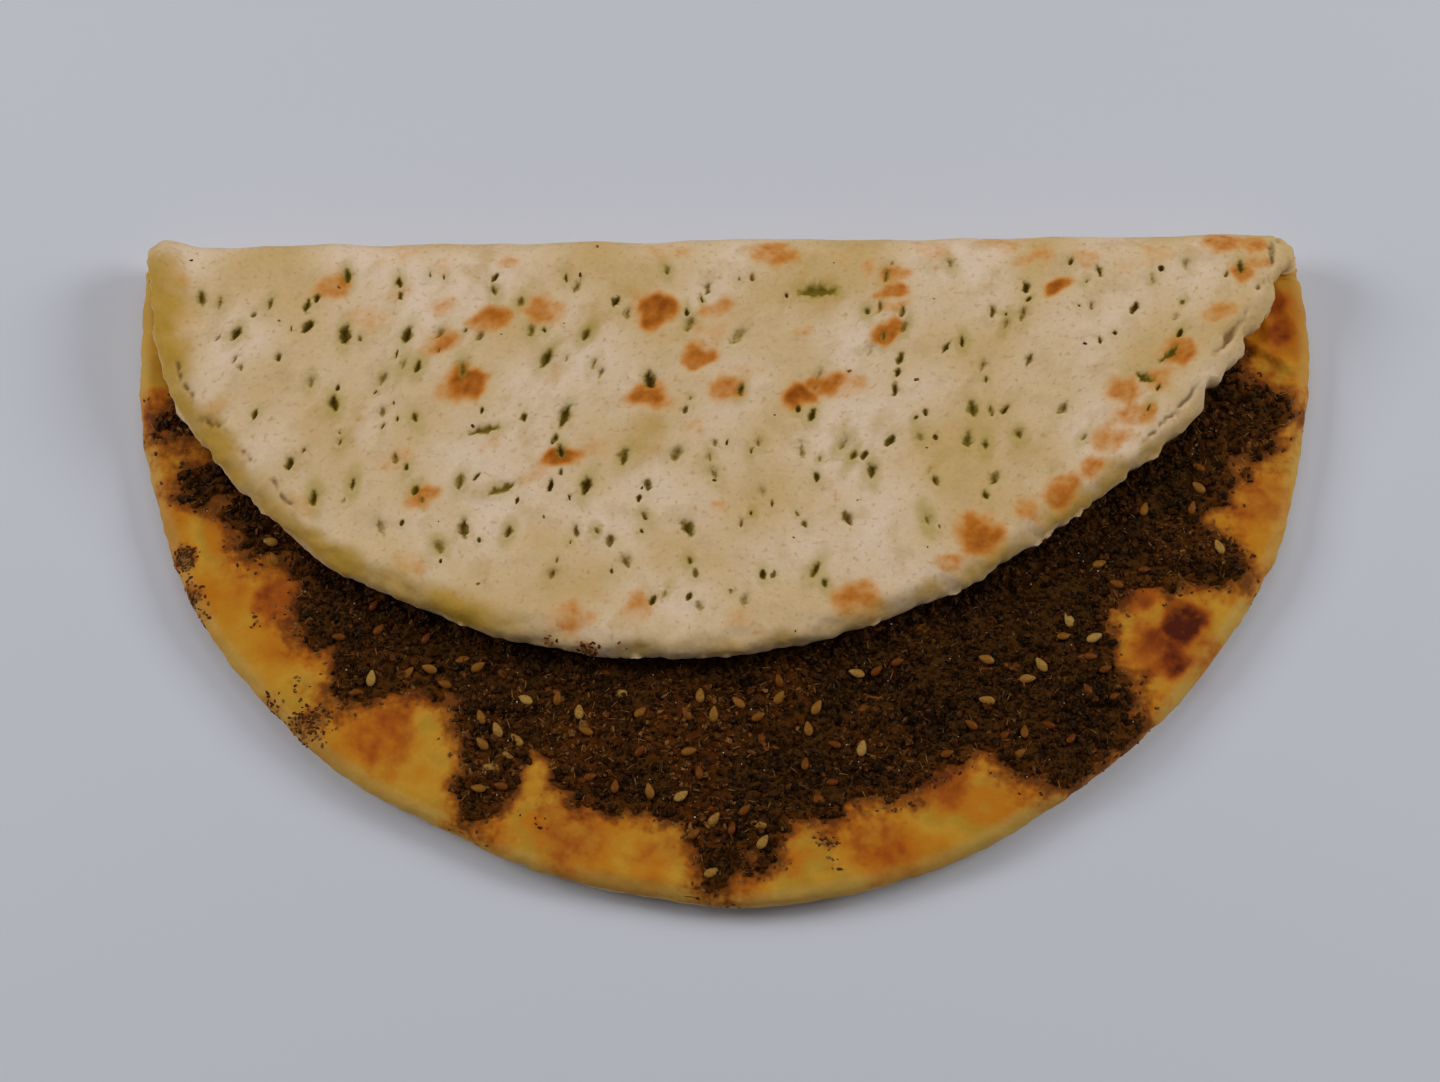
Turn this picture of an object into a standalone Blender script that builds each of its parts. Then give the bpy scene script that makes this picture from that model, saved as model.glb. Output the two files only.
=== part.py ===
"""A round zaatar flatbread, folded once so that the far part lies back over the near part.

Each layer is described flat, as it was rolled and spread, by u (to the right), v (away from
the viewer) and h (height above the underside of the dough). The function fold() then lays the
far part back over the near part. The dough's pale pricked underside so becomes the top face of
the flap, and the zaatar, spread on the other face, lines the fold.
Metres, +Z up, origin on the resting plane below the middle of the folded bread.
"""

import math
import random

import bmesh
import bpy
from mathutils import Vector, geometry, noise

# The dough: a round sheet with a slightly fuller rim
BREAD_RADIUS = 0.125
MIDDLE_THICKNESS = 0.0066
RIM_THICKNESS = 0.0074
RIM_STARTS_AT = 0.088
RIM_FULL_AT = 0.114
# Waves round the outline: how many, how high, and the direction of one crest in degrees
OUTLINE_WAVES = ((6, 0.0008, 276), (4, 0.0004, 27), (3, 0.0002, 27), (17, 0.0003, 40))
# Stretches that were rolled out further or less far: direction, reach, half width in degrees
OUTLINE_SWELLS = ((156, 0.0042, 8), (102, -0.0022, 16), (35, 0.0018, 6))

# The edge: the underside curves up over a wide band, the upper side over a narrow one
UNDER_ROUNDING = 0.0060
UPPER_ROUNDING = 0.0034
EDGE_SHARE = 0.62
UNDER_RINGS = (0.0007, 0.0026, 0.0060)
UPPER_RINGS = (0.0009, 0.0034)

# The fold: a soft bend whose outer crust keeps its length
BEND_RADIUS = 0.0090
BEND_STARTS_AT = 0.0098
BEND_TILT = 0.012
BEND_STEPS = 9
SETTLED_HEIGHT = 0.0162
SETTLES_OVER = 0.060
FLAP_SHIFT = -0.0090
FLAP_SHIFTS_OVER = 0.055
FLAP_WAVE = 0.0007
FLAP_WAVE_LENGTH = 0.038
FLAP_WAVES_FROM = 0.020
CORNER_LIFT = 0.0022
CORNER_REACH = 0.014
# Kinks of the fold line: height, wavelength, and layer of the noise
KINKS = ((0.0007, 0.030, 3.0), (0.0004, 0.011, 5.0))

# The zaatar: a thin crumbly paste with tongues and bays along its edge
TOPPING_RADIUS = 0.1090
TOPPING_THICKNESS = 0.0010
TOPPING_GAP = 0.0003
TOPPING_RING = 0.0013
TOPPING_CLEAR_OF_RIM = 0.0012
TOPPING_CRUMB = 0.00022
TOPPING_CRUMB_SIZE = 0.0032
TOPPING_BRIM_SHARE = 0.3
CRUMBS_FROM_BEND = 0.010
TONGUES = (
    # direction in degrees, reach beyond the round (a bay is below 0), half width in degrees
    (191.2, 0.0130, 2.9),
    (198.0, 0.0110, 2.6),
    (205.0, 0.0025, 4.0),
    (213.0, -0.0040, 2.6),
    (219.0, 0.0030, 3.0),
    (226.4, 0.0065, 2.8),
    (235.0, -0.0065, 4.8),
    (244.8, 0.0115, 2.6),
    (249.3, -0.0050, 1.6),
    (269.4, 0.0150, 2.6),
    (274.4, 0.0095, 2.2),
    (280.8, 0.0040, 2.0),
    (309.0, 0.0155, 8.3),
    (322.3, -0.0045, 3.6),
    (332.6, 0.0130, 2.9),
    (341.0, 0.0040, 3.6),
    (349.5, 0.0120, 4.2),
)

# The prick marks left by the docker's pins in the underside
PRICK_PITCH = 0.0093
PRICK_JITTER = 0.0036
PRICK_SEED = 11
PRICKS_FROM_RIM = 0.0085
PRICKS_PAST_BEND = -0.0015
PRICK_WIDTH = (0.0006, 0.0012)
PRICK_LENGTH = (1.2, 2.2)
PRICK_TURN = 0.6
PRICK_DEPTH = 0.0024
PRICK_SIDES = 6
PRICKS_APART = 0.0044
CLEAR_OF_PRICKS = 0.0018
# Marks that stand out: u and v, half width and half length, and turn in radians
LONG_PRICKS = (
    (0.020, 0.045, 0.0013, 0.0044, 1.45),
    (-0.043, 0.074, 0.0008, 0.0034, 1.30),
    (-0.037, 0.087, 0.0008, 0.0032, 1.25),
    (-0.027, 0.072, 0.0012, 0.0029, 0.10),
    (0.005, 0.055, 0.0013, 0.0024, 0.50),
    (0.096, 0.061, 0.0008, 0.0026, 0.80),
    (0.092, 0.066, 0.0008, 0.0026, -1.10),
)

# The sesame seeds that show on the open part of the zaatar
SEED_COUNT = 84
SEED_SEED = 5
SEED_LENGTH = 0.0033
SEED_WIDTH = 0.0020
SEED_DEPTH = 0.0013
SEED_SUNK = 0.15
SEED_TILT = 0.12
SEEDS_APART = 0.0036
SEEDS_CLEAR_OF_FLAP = 0.0040
SEEDS_CLEAR_OF_EDGE = 0.0025
# Seeds that stand out, x and y
SEEN_SEEDS = (
    (-0.046, -0.090), (-0.049, -0.093), (-0.044, -0.095), (-0.047, -0.098), (-0.042, -0.092),
    (-0.045, -0.102), (-0.075, -0.082), (-0.072, -0.079), (-0.094, -0.049), (-0.093, -0.053),
    (-0.028, -0.090), (-0.027, -0.100), (-0.022, -0.102), (-0.017, -0.086), (-0.005, -0.099),
    (-0.015, -0.103), (0.022, -0.101), (-0.006, -0.112), (-0.002, -0.109), (0.007, -0.110),
    (0.003, -0.084), (0.007, -0.087), (-0.032, -0.071), (0.076, -0.070), (0.071, -0.066),
    (0.078, -0.077), (0.062, -0.079), (0.066, -0.089), (0.057, -0.091), (0.060, -0.095),
    (-0.079, -0.070), (-0.057, -0.080), (-0.072, -0.063),
)

# Spacing of the points on each face
RIM_STEP = 0.0068
RIM_STEP_IN_BEND = 0.0030
BRIM_STEP_OPEN = 0.0026
BASE_UNDERSIDE_STEP = 0.016
FLAP_FACE_STEP = 0.0078
BASE_FACE_STEP = 0.0085
HIDDEN_STEP = 0.012
TOPPING_STEP = 0.0040
TOPPING_HIDDEN_STEP = 0.0100
BEND_ROW_STEP = 0.0075
# How far the inner points keep from the last ring, and from the ends of the bend
CLEAR_OF_RINGS = 0.0040
TOPPING_CLEAR_OF_RING = 0.0025
BEND_MARGIN = 0.0020
CLEAR_OF_BEND = 0.0050
SHOWS_PAST_FLAP = 0.0060
SAME_POINT_DIGITS = 6

BREAD_COLOUR = (0.78, 0.63, 0.37, 1.0)
ZAATAR_COLOUR = (0.055, 0.032, 0.017, 1.0)


def smooth(low, high, value):
    """Rises from 0 at low to 1 at high with level ends."""
    share = min(1.0, max(0.0, (value - low) / (high - low)))
    return share * share * (3 - 2 * share)


def ripple(u, v, wavelength, layer):
    """Smooth noise between about -1 and 1, the same on each run."""
    return noise.noise(Vector((u / wavelength, v / wavelength, layer)))


# Outlines of the flat layers


def degrees_off(angle, direction):
    """Degrees between an angle in radians and a direction in degrees, from -180 to 180."""
    return (math.degrees(angle) - direction + 180) % 360 - 180


def bread_outline(angle):
    """Radius of the dough in a direction given in radians."""
    radius = BREAD_RADIUS
    for count, height, crest in OUTLINE_WAVES:
        radius += height * math.cos(count * (angle - math.radians(crest)))
    for direction, reach, half_width in OUTLINE_SWELLS:
        radius += reach * math.exp(-((degrees_off(angle, direction) / half_width) ** 2))
    return radius


def topping_outline(angle):
    """Radius of the zaatar in a direction given in radians."""
    radius = TOPPING_RADIUS
    for direction, reach, half_width in TONGUES:
        radius += reach * math.exp(-((degrees_off(angle, direction) / half_width) ** 4))
    return min(radius, bread_outline(angle) - TOPPING_CLEAR_OF_RIM)


def from_rim(u, v):
    """Distance of a flat point from the dough's outline, inwards."""
    return bread_outline(math.atan2(v, u)) - math.hypot(u, v)


# Heights of the dough's two faces


def thickness(u, v):
    fullness = smooth(RIM_STARTS_AT, RIM_FULL_AT, math.hypot(u, v))
    return MIDDLE_THICKNESS + (RIM_THICKNESS - MIDDLE_THICKNESS) * fullness


def rounding(inset, width):
    """A quarter ellipse: 0 at the outline, 1 once the inset passes the width."""
    left = 1 - min(1.0, max(0.0, inset / width))
    return math.sqrt(1 - left * left)


def edge_height(u, v):
    return EDGE_SHARE * thickness(u, v)


def upper_height(u, v):
    edge = edge_height(u, v)
    return edge + (thickness(u, v) - edge) * rounding(from_rim(u, v), UPPER_ROUNDING)


def under_height(u, v):
    return edge_height(u, v) * (1 - rounding(from_rim(u, v), UNDER_ROUNDING))


# The fold


def bend_start(u):
    """Where the sheet begins to bend: a line with a slight slant and small kinks."""
    kinks = sum(height * ripple(u, 0, length, layer) for height, length, layer in KINKS)
    corner = smooth(BREAD_RADIUS - CORNER_REACH, BREAD_RADIUS - CORNER_REACH / 4, -u)
    return BEND_STARTS_AT + BEND_TILT * u + kinks + CORNER_LIFT * corner


def past_bend(u, v):
    """Length of flap between the end of the bend and a flat point, below 0 before it."""
    return v - bend_start(u) - math.pi * BEND_RADIUS


def flap_shift(run):
    return FLAP_SHIFT * smooth(0, FLAP_SHIFTS_OVER, run)


def flap_top(u, run):
    """Height of the flap's crust above the table."""
    settling = smooth(0, SETTLES_OVER, run)
    wave = 0.5 + 0.5 * ripple(u, run, FLAP_WAVE_LENGTH, 1.0)
    settled = 2 * BEND_RADIUS - (2 * BEND_RADIUS - SETTLED_HEIGHT) * settling
    return settled + FLAP_WAVE * wave * smooth(0, FLAP_WAVES_FROM, run)


def fold(u, v, h):
    """Where a flat point lies once the bread is folded."""
    start = bend_start(u)
    run = past_bend(u, v)
    if v <= start:
        return Vector((u, v, h))
    if run <= 0:
        turn = (v - start) / BEND_RADIUS
        reach = BEND_RADIUS - h
        return Vector((u, start + reach * math.sin(turn), BEND_RADIUS - reach * math.cos(turn)))
    return Vector((u + flap_shift(run), start - run, flap_top(u, run) - h))


def is_open(x, y, margin):
    """Whether a point of the base shows beside the flap, with a margin to the flap's edge."""
    run = bend_start(x) - y
    if run <= 0:
        return False
    u = x - flap_shift(run)
    v = bend_start(u) + math.pi * BEND_RADIUS + run
    return from_rim(u, v) < -margin


# Points of the flat faces


def in_bend(u, v):
    return -BEND_MARGIN < v - bend_start(u) and past_bend(u, v) < BEND_MARGIN


def outline_points(outline, open_step):
    """Points round an outline, closer together where the sheet will bend."""
    points = []
    angle = -0.5 * math.pi
    while angle < 1.5 * math.pi - 0.5 * open_step / BREAD_RADIUS:
        radius = outline(angle)
        points.append((angle, radius))
        u, v = radius * math.cos(angle), radius * math.sin(angle)
        step = open_step if before_bend(u, v, 0) else RIM_STEP
        if in_bend(u, v):
            step = RIM_STEP_IN_BEND
        angle += step / radius
    return points


def ring_of(outline, inset):
    return [
        ((radius - inset) * math.cos(angle), (radius - inset) * math.sin(angle))
        for angle, radius in outline
    ]


def lattice(step, keep):
    """Points of a triangular lattice that keep(u, v) accepts."""
    row_step = step * math.sqrt(3) / 2
    rows = int(BREAD_RADIUS / row_step) + 1
    columns = int(BREAD_RADIUS / step) + 1
    points = []
    for row in range(-rows, rows + 1):
        for column in range(-columns, columns + 1):
            u = (column + 0.5 * (row % 2)) * step
            v = row * row_step
            if keep(u, v):
                points.append((u, v))
    return points


def bend_rows(keep):
    """Rows of points along the bend, one for each step of its turn."""
    arc = math.pi * BEND_RADIUS
    columns = int(BREAD_RADIUS / BEND_ROW_STEP) + 1
    points = []
    for row in range(BEND_STEPS + 1):
        for column in range(-columns, columns + 1):
            u = (column + 0.5 * (row % 2)) * BEND_ROW_STEP
            v = bend_start(u) + arc * row / BEND_STEPS
            if keep(u, v):
                points.append((u, v))
    return points


def before_bend(u, v, margin):
    return v < bend_start(u) - margin


def beyond_bend(u, v, margin):
    return past_bend(u, v) > margin


# Building a closed layer


def add_face_sheet(bm, rim, rings, inside, height, facing_out):
    """Fills one face of a layer: rim holds (vertex, u, v), and the rest are flat points."""
    flat = [Vector((u, v)) for _, u, v in rim]
    vertices = [vertex for vertex, _, _ in rim]
    loops = [range(len(rim))]
    for ring in rings:
        loops.append(range(len(flat), len(flat) + len(ring)))
        flat += [Vector(point) for point in ring]
    flat += [Vector(point) for point in inside]
    for point in flat[len(rim):]:
        vertices.append(bm.verts.new(fold(point.x, point.y, height(point.x, point.y))))
    edges = [(i, loop[(k + 1) % len(loop)]) for loop in loops for k, i in enumerate(loop)]
    found = geometry.delaunay_2d_cdt(flat, edges, [], 1, 1e-7)
    source = [originals[0] for originals in found[3]]
    for face in found[2]:
        corners = [vertices[source[i]] for i in face]
        bm.faces.new(corners if facing_out else corners[::-1])


def new_object(name, bm, colour):
    mesh = bpy.data.meshes.new(name)
    bmesh.ops.recalc_face_normals(bm, faces=bm.faces)
    bm.to_mesh(mesh)
    bm.free()
    material = bpy.data.materials.new(name + "_finish")
    material.use_nodes = True
    shader = material.node_tree.nodes["Principled BSDF"]
    shader.inputs["Base Color"].default_value = colour
    shader.inputs["Roughness"].default_value = 0.8
    shader.inputs["Metallic"].default_value = 0.0
    mesh.materials.append(material)
    made = bpy.data.objects.new(name, mesh)
    bpy.context.scene.collection.objects.link(made)
    return made


# The prick marks


def prick_marks():
    """(u, v, half width, half length, turn) of each mark on the flap, the largest first."""
    draw = random.Random(PRICK_SEED)
    marks = list(LONG_PRICKS)
    count = int(2 * BREAD_RADIUS / PRICK_PITCH) + 1
    for row in range(count):
        for column in range(count):
            u = (column - count / 2 + 0.5 * (row % 2)) * PRICK_PITCH
            v = (row - count / 2) * PRICK_PITCH
            u += draw.uniform(-PRICK_JITTER, PRICK_JITTER)
            v += draw.uniform(-PRICK_JITTER, PRICK_JITTER)
            half_width = draw.uniform(*PRICK_WIDTH)
            half_length = half_width * draw.uniform(*PRICK_LENGTH)
            turn = draw.uniform(-PRICK_TURN, PRICK_TURN)
            inside = from_rim(u, v) > PRICKS_FROM_RIM
            on_top = past_bend(u, v) > PRICKS_PAST_BEND
            apart = all(math.hypot(u - m[0], v - m[1]) > PRICKS_APART + m[3] for m in marks)
            if inside and on_top and apart:
                marks.append((u, v, half_width, half_length, turn))
    return sorted(marks, key=lambda mark: -mark[2] * mark[3])


def mark_ring(mark):
    """Points round the rim of a mark."""
    u, v, half_width, half_length, turn = mark
    ring = []
    for side in range(PRICK_SIDES):
        angle = 2 * math.pi * (side + 0.5) / PRICK_SIDES
        across = half_width * math.cos(angle)
        along = half_length * math.sin(angle)
        ring.append((
            u + across * math.cos(turn) - along * math.sin(turn),
            v + across * math.sin(turn) + along * math.cos(turn),
        ))
    return ring


# The dough


def make_bread():
    marks = prick_marks()
    pits = {(round(m[0], SAME_POINT_DIGITS), round(m[1], SAME_POINT_DIGITS)) for m in marks}
    outline = outline_points(bread_outline, RIM_STEP)
    bm = bmesh.new()
    rim = []
    for u, v in ring_of(outline, 0):
        rim.append((bm.verts.new(fold(u, v, edge_height(u, v))), u, v))

    def clear_of_marks(u, v):
        return all(
            math.hypot(u - mark[0], v - mark[1]) > mark[3] + CLEAR_OF_PRICKS for mark in marks
        )

    def crust_point(u, v):
        within = from_rim(u, v) > UNDER_ROUNDING + CLEAR_OF_RINGS
        return within and clear_of_marks(u, v)

    def crust_height(u, v):
        is_pit = (round(u, SAME_POINT_DIGITS), round(v, SAME_POINT_DIGITS)) in pits
        return PRICK_DEPTH if is_pit else under_height(u, v)

    crust = lattice(
        BASE_UNDERSIDE_STEP,
        lambda u, v: crust_point(u, v) and before_bend(u, v, 0.5 * BASE_UNDERSIDE_STEP),
    )
    crust += bend_rows(crust_point)
    crust += lattice(
        FLAP_FACE_STEP,
        lambda u, v: crust_point(u, v) and beyond_bend(u, v, 0.5 * FLAP_FACE_STEP),
    )
    for mark in marks:
        crust += [mark[:2], *mark_ring(mark)]
    under_rings = [ring_of(outline, inset) for inset in UNDER_RINGS]
    add_face_sheet(bm, rim, under_rings, crust, crust_height, False)

    def face_point(u, v):
        return from_rim(u, v) > UPPER_ROUNDING + CLEAR_OF_RINGS

    face = lattice(
        BASE_FACE_STEP,
        lambda u, v: face_point(u, v) and before_bend(u, v, 0.5 * BASE_FACE_STEP),
    )
    face += bend_rows(face_point)
    face += lattice(
        HIDDEN_STEP,
        lambda u, v: face_point(u, v) and beyond_bend(u, v, 0.5 * HIDDEN_STEP),
    )
    upper_rings = [ring_of(outline, inset) for inset in UPPER_RINGS]
    add_face_sheet(bm, rim, upper_rings, face, upper_height, True)
    return new_object("flatbread", bm, BREAD_COLOUR)


# The zaatar


def make_topping():
    outline = outline_points(topping_outline, BRIM_STEP_OPEN)
    bm = bmesh.new()

    def floor_height(u, v):
        return upper_height(u, v) + TOPPING_GAP

    def brim_height(u, v):
        return floor_height(u, v) + TOPPING_BRIM_SHARE * TOPPING_THICKNESS

    def crumb_height(u, v):
        crumb = TOPPING_CRUMB * ripple(u, v, TOPPING_CRUMB_SIZE, 2.0)
        rough = smooth(0, CRUMBS_FROM_BEND, bend_start(u) - v)
        return floor_height(u, v) + TOPPING_THICKNESS + crumb * rough

    def inside(u, v):
        reach = topping_outline(math.atan2(v, u)) - math.hypot(u, v)
        return reach > TOPPING_RING + TOPPING_CLEAR_OF_RING

    def shows(u, v):
        return is_open(u, v, -SHOWS_PAST_FLAP)

    rim = []
    for u, v in ring_of(outline, 0):
        rim.append((bm.verts.new(fold(u, v, brim_height(u, v))), u, v))
    ring = ring_of(outline, TOPPING_RING)
    bend = bend_rows(inside)
    hidden = lattice(
        TOPPING_HIDDEN_STEP,
        lambda u, v: inside(u, v)
        and not shows(u, v)
        and not in_bend(u, v)
        and (before_bend(u, v, CLEAR_OF_BEND) or beyond_bend(u, v, CLEAR_OF_BEND)),
    )
    crumbs = lattice(TOPPING_STEP, lambda u, v: inside(u, v) and shows(u, v))
    below = lattice(TOPPING_HIDDEN_STEP, lambda u, v: inside(u, v) and shows(u, v))
    add_face_sheet(bm, rim, [ring], bend + hidden + crumbs, crumb_height, True)
    add_face_sheet(bm, rim, [ring], bend + hidden + below, floor_height, False)
    return new_object("zaatar", bm, ZAATAR_COLOUR)


def seed_places():
    """(x, y, turn) of each seed on the open part of the zaatar."""
    draw = random.Random(SEED_SEED)
    places = [(x, y, draw.uniform(0, math.pi)) for x, y in SEEN_SEEDS]
    while len(places) < SEED_COUNT:
        x = draw.uniform(-BREAD_RADIUS, BREAD_RADIUS)
        y = draw.uniform(-BREAD_RADIUS, BEND_STARTS_AT)
        reach = topping_outline(math.atan2(y, x)) - math.hypot(x, y)
        apart = all(math.hypot(x - p[0], y - p[1]) > SEEDS_APART for p in places)
        if reach > SEEDS_CLEAR_OF_EDGE and is_open(x, y, SEEDS_CLEAR_OF_FLAP) and apart:
            places.append((x, y, draw.uniform(0, math.pi)))
    return places


def add_seeds(topping):
    """Fuses the seeds to the zaatar that they lie on."""
    seeds = bpy.data.collections.new("sesame_seeds")
    bpy.context.scene.collection.children.link(seeds)
    for number, (x, y, turn) in enumerate(seed_places()):
        bm = bmesh.new()
        bmesh.ops.create_icosphere(bm, subdivisions=1, radius=0.5)
        bmesh.ops.scale(bm, vec=(SEED_LENGTH, SEED_WIDTH, SEED_DEPTH), verts=bm.verts)
        mesh = bpy.data.meshes.new(f"seed_{number}")
        bm.to_mesh(mesh)
        bm.free()
        seed = bpy.data.objects.new(f"seed_{number}", mesh)
        top = upper_height(x, y) + TOPPING_GAP + TOPPING_THICKNESS
        seed.location = (x, y, top + SEED_SUNK * SEED_DEPTH)
        seed.rotation_euler = (SEED_TILT * math.sin(5 * turn), 0.0, turn)
        seeds.objects.link(seed)
    union = topping.modifiers.new("fuse_seeds", "BOOLEAN")
    union.operation = "UNION"
    union.operand_type = "COLLECTION"
    union.collection = seeds
    union.solver = "EXACT"
    bpy.context.view_layer.update()
    graph = bpy.context.evaluated_depsgraph_get()
    fused = bpy.data.meshes.new_from_object(topping.evaluated_get(graph))
    topping.modifiers.clear()
    topping.data = fused
    topping.data.name = topping.name
    for seed in list(seeds.objects):
        bpy.data.objects.remove(seed)
    bpy.data.collections.remove(seeds)


def stand_on_origin(parts):
    """Moves the meshes so that the origin is below the middle of the folded bread."""
    corners = [vertex.co for part in parts for vertex in part.data.vertices]
    low = [min(corner[axis] for corner in corners) for axis in range(3)]
    high = [max(corner[axis] for corner in corners) for axis in range(3)]
    middle = Vector(((low[0] + high[0]) / 2, (low[1] + high[1]) / 2, low[2]))
    for part in parts:
        for vertex in part.data.vertices:
            vertex.co -= middle


def clear_scene():
    for old in list(bpy.data.objects):
        bpy.data.objects.remove(old)


def gather(parts, name):
    """Puts the parts in a collection of their own."""
    collection = bpy.data.collections.new(name)
    bpy.context.scene.collection.children.link(collection)
    for part in parts:
        bpy.context.scene.collection.objects.unlink(part)
        collection.objects.link(part)


def main():
    clear_scene()
    bread = make_bread()
    topping = make_topping()
    add_seeds(topping)
    stand_on_origin([bread, topping])
    gather([bread, topping], "zaatar_flatbread")


main()
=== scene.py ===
# %% [markdown]
# # A folded zaatar flatbread
#
# A round of wheat dough was pricked, spread with zaatar (thyme, sumac, sesame and oil), baked
# and folded once. The far part now lies on the near part, so the pale pricked underside is on
# top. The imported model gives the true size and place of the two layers. This script dresses
# them: it makes a finer dough, a crumbly topping of loose bits, and a finish for each.

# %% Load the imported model
import math
import random
import bmesh
import bpy
import numpy as np
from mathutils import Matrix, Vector, geometry, kdtree, noise


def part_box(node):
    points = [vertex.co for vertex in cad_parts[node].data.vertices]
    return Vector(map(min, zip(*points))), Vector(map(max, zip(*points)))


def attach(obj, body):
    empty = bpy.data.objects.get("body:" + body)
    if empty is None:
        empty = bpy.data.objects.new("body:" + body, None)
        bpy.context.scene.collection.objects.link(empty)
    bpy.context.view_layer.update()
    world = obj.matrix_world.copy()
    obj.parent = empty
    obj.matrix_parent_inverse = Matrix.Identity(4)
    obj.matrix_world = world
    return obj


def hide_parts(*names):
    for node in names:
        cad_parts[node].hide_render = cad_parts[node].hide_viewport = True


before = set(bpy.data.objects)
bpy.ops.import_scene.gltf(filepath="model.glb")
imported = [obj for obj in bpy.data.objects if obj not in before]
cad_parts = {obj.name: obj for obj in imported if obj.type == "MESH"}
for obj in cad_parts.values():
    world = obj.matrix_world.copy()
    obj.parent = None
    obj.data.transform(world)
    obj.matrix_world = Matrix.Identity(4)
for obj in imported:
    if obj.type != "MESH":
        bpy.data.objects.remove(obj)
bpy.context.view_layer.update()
MM = 0.001
print("nodes", sorted(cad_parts))

# %% [markdown]
# ## Small helpers
#
# Colours are picked as sRGB hex values, the way a colour picker shows them, and Blender's
# shaders want linear light, so one function converts them. Another adds a shader or geometry
# node with its settings and links, which keeps each finish short enough to read.

# %% Helpers for colours, nodes and smooth steps
def from_hex(code):
    """An sRGB hex colour as the linear red, green, blue and alpha that a shader takes."""
    shown = [int(code[place:place + 2], 16) / 255 for place in (0, 2, 4)]
    linear = [c / 12.92 if c <= 0.04045 else ((c + 0.055) / 1.055) ** 2.4 for c in shown]
    return (*linear, 1.0)


def fill(tree, node, inputs):
    """Gives each named input of a node a value, or a link from another node's output."""
    for name, value in inputs.items():
        if isinstance(value, bpy.types.NodeSocket):
            tree.links.new(value, node.inputs[name])
        else:
            node.inputs[name].default_value = value


def add_node(tree, kind, inputs, output=None, stops=(), **settings):
    """Adds a node with its settings and links, and returns it or one of its outputs.

    A colour ramp also takes its stops, each a position and an sRGB hex colour.
    """
    node = tree.nodes.new(kind)
    for name, value in settings.items():
        setattr(node, name, value)
    fill(tree, node, inputs)
    if stops:
        elements = node.color_ramp.elements
        elements.remove(elements[1])
        elements[0].position, elements[0].color = stops[0][0], from_hex(stops[0][1])
        for position, code in stops[1:]:
            elements.new(position).color = from_hex(code)
    return node if output is None else node.outputs[output]


def smooth(low, high, value):
    """Rises from 0 at low to 1 at high with level ends."""
    share = min(1.0, max(0.0, (value - low) / (high - low)))
    return share * share * (3 - 2 * share)


def ripple(u, v, wavelength, layer):
    """Smooth noise between about -1 and 1, the same on each run."""
    return noise.noise(Vector((u / wavelength, v / wavelength, layer)))


# The mix node keeps its colour sockets at these places
MIX_A, MIX_B, MIX_RESULT = 6, 7, 2
print("a mid grey in linear light", round(from_hex("808080")[0], 3))

# %% [markdown]
# ## The dough as a flat sheet
#
# The bread could be sculpted as it lies, but it is easier to describe before it was folded: a
# round sheet, with u to the right, v away from the viewer, and h the height above the underside.
# Its outline is a circle with slow waves from the rolling pin and a few fuller or shorter
# stretches. It is a little thicker at the rim, and its edge rounds over in a wide band below
# and a narrow one above.

# %% Sizes and outline of the dough
BREAD_RADIUS = 125 * MM
MIDDLE_THICKNESS, RIM_THICKNESS = 6.6 * MM, 7.4 * MM
RIM_STARTS_AT, RIM_FULL_AT = 88 * MM, 114 * MM
# Waves round the outline: how many, how high, and the direction of one crest in degrees
OUTLINE_WAVES = ((6, 0.8 * MM, 276), (4, 0.4 * MM, 27), (3, 0.2 * MM, 27), (17, 0.3 * MM, 40))
# Stretches that were rolled out further or less far: direction, reach, half width in degrees
OUTLINE_SWELLS = ((156, 4.2 * MM, 8), (102, -2.2 * MM, 16), (35, 1.8 * MM, 6))
UNDER_ROUNDING, UPPER_ROUNDING = 6.0 * MM, 3.4 * MM
EDGE_SHARE = 0.62


def degrees_off(angle, direction):
    """Degrees between an angle in radians and a direction in degrees, from -180 to 180."""
    return (math.degrees(angle) - direction + 180) % 360 - 180


def bread_outline(angle):
    """Radius of the dough in a direction given in radians."""
    radius = BREAD_RADIUS
    for count, height, crest in OUTLINE_WAVES:
        radius += height * math.cos(count * (angle - math.radians(crest)))
    for direction, reach, half_width in OUTLINE_SWELLS:
        radius += reach * math.exp(-((degrees_off(angle, direction) / half_width) ** 2))
    return radius


def from_rim(u, v):
    """Distance of a flat point from the dough's outline, inwards."""
    return bread_outline(math.atan2(v, u)) - math.hypot(u, v)


def thickness(u, v):
    fullness = smooth(RIM_STARTS_AT, RIM_FULL_AT, math.hypot(u, v))
    return MIDDLE_THICKNESS + (RIM_THICKNESS - MIDDLE_THICKNESS) * fullness


def rounding(inset, width):
    """A quarter ellipse: 0 at the outline, 1 once the inset passes the width."""
    left = 1 - min(1.0, max(0.0, inset / width))
    return math.sqrt(1 - left * left)


def edge_height(u, v):
    return EDGE_SHARE * thickness(u, v)


def upper_height(u, v):
    edge = edge_height(u, v)
    return edge + (thickness(u, v) - edge) * rounding(from_rim(u, v), UPPER_ROUNDING)


def under_height(u, v):
    return edge_height(u, v) * (1 - rounding(from_rim(u, v), UNDER_ROUNDING))


print("rim radius at the front in mm", round(bread_outline(-math.pi / 2) / MM, 1))

# %% [markdown]
# ## The fold
#
# A soft sheet bends round a small radius, and its outer crust keeps its length while the crumb
# inside is squeezed. A cloth simulation would find its own fold, but here the fold is known, so
# a rule does it: a flat point past the start of the bend travels round a half circle, and beyond
# it lies upside down on top. The flap slid a few millimetres to the left and settles towards its
# free edge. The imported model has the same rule, so the finer sheet lands in the same place.

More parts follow.
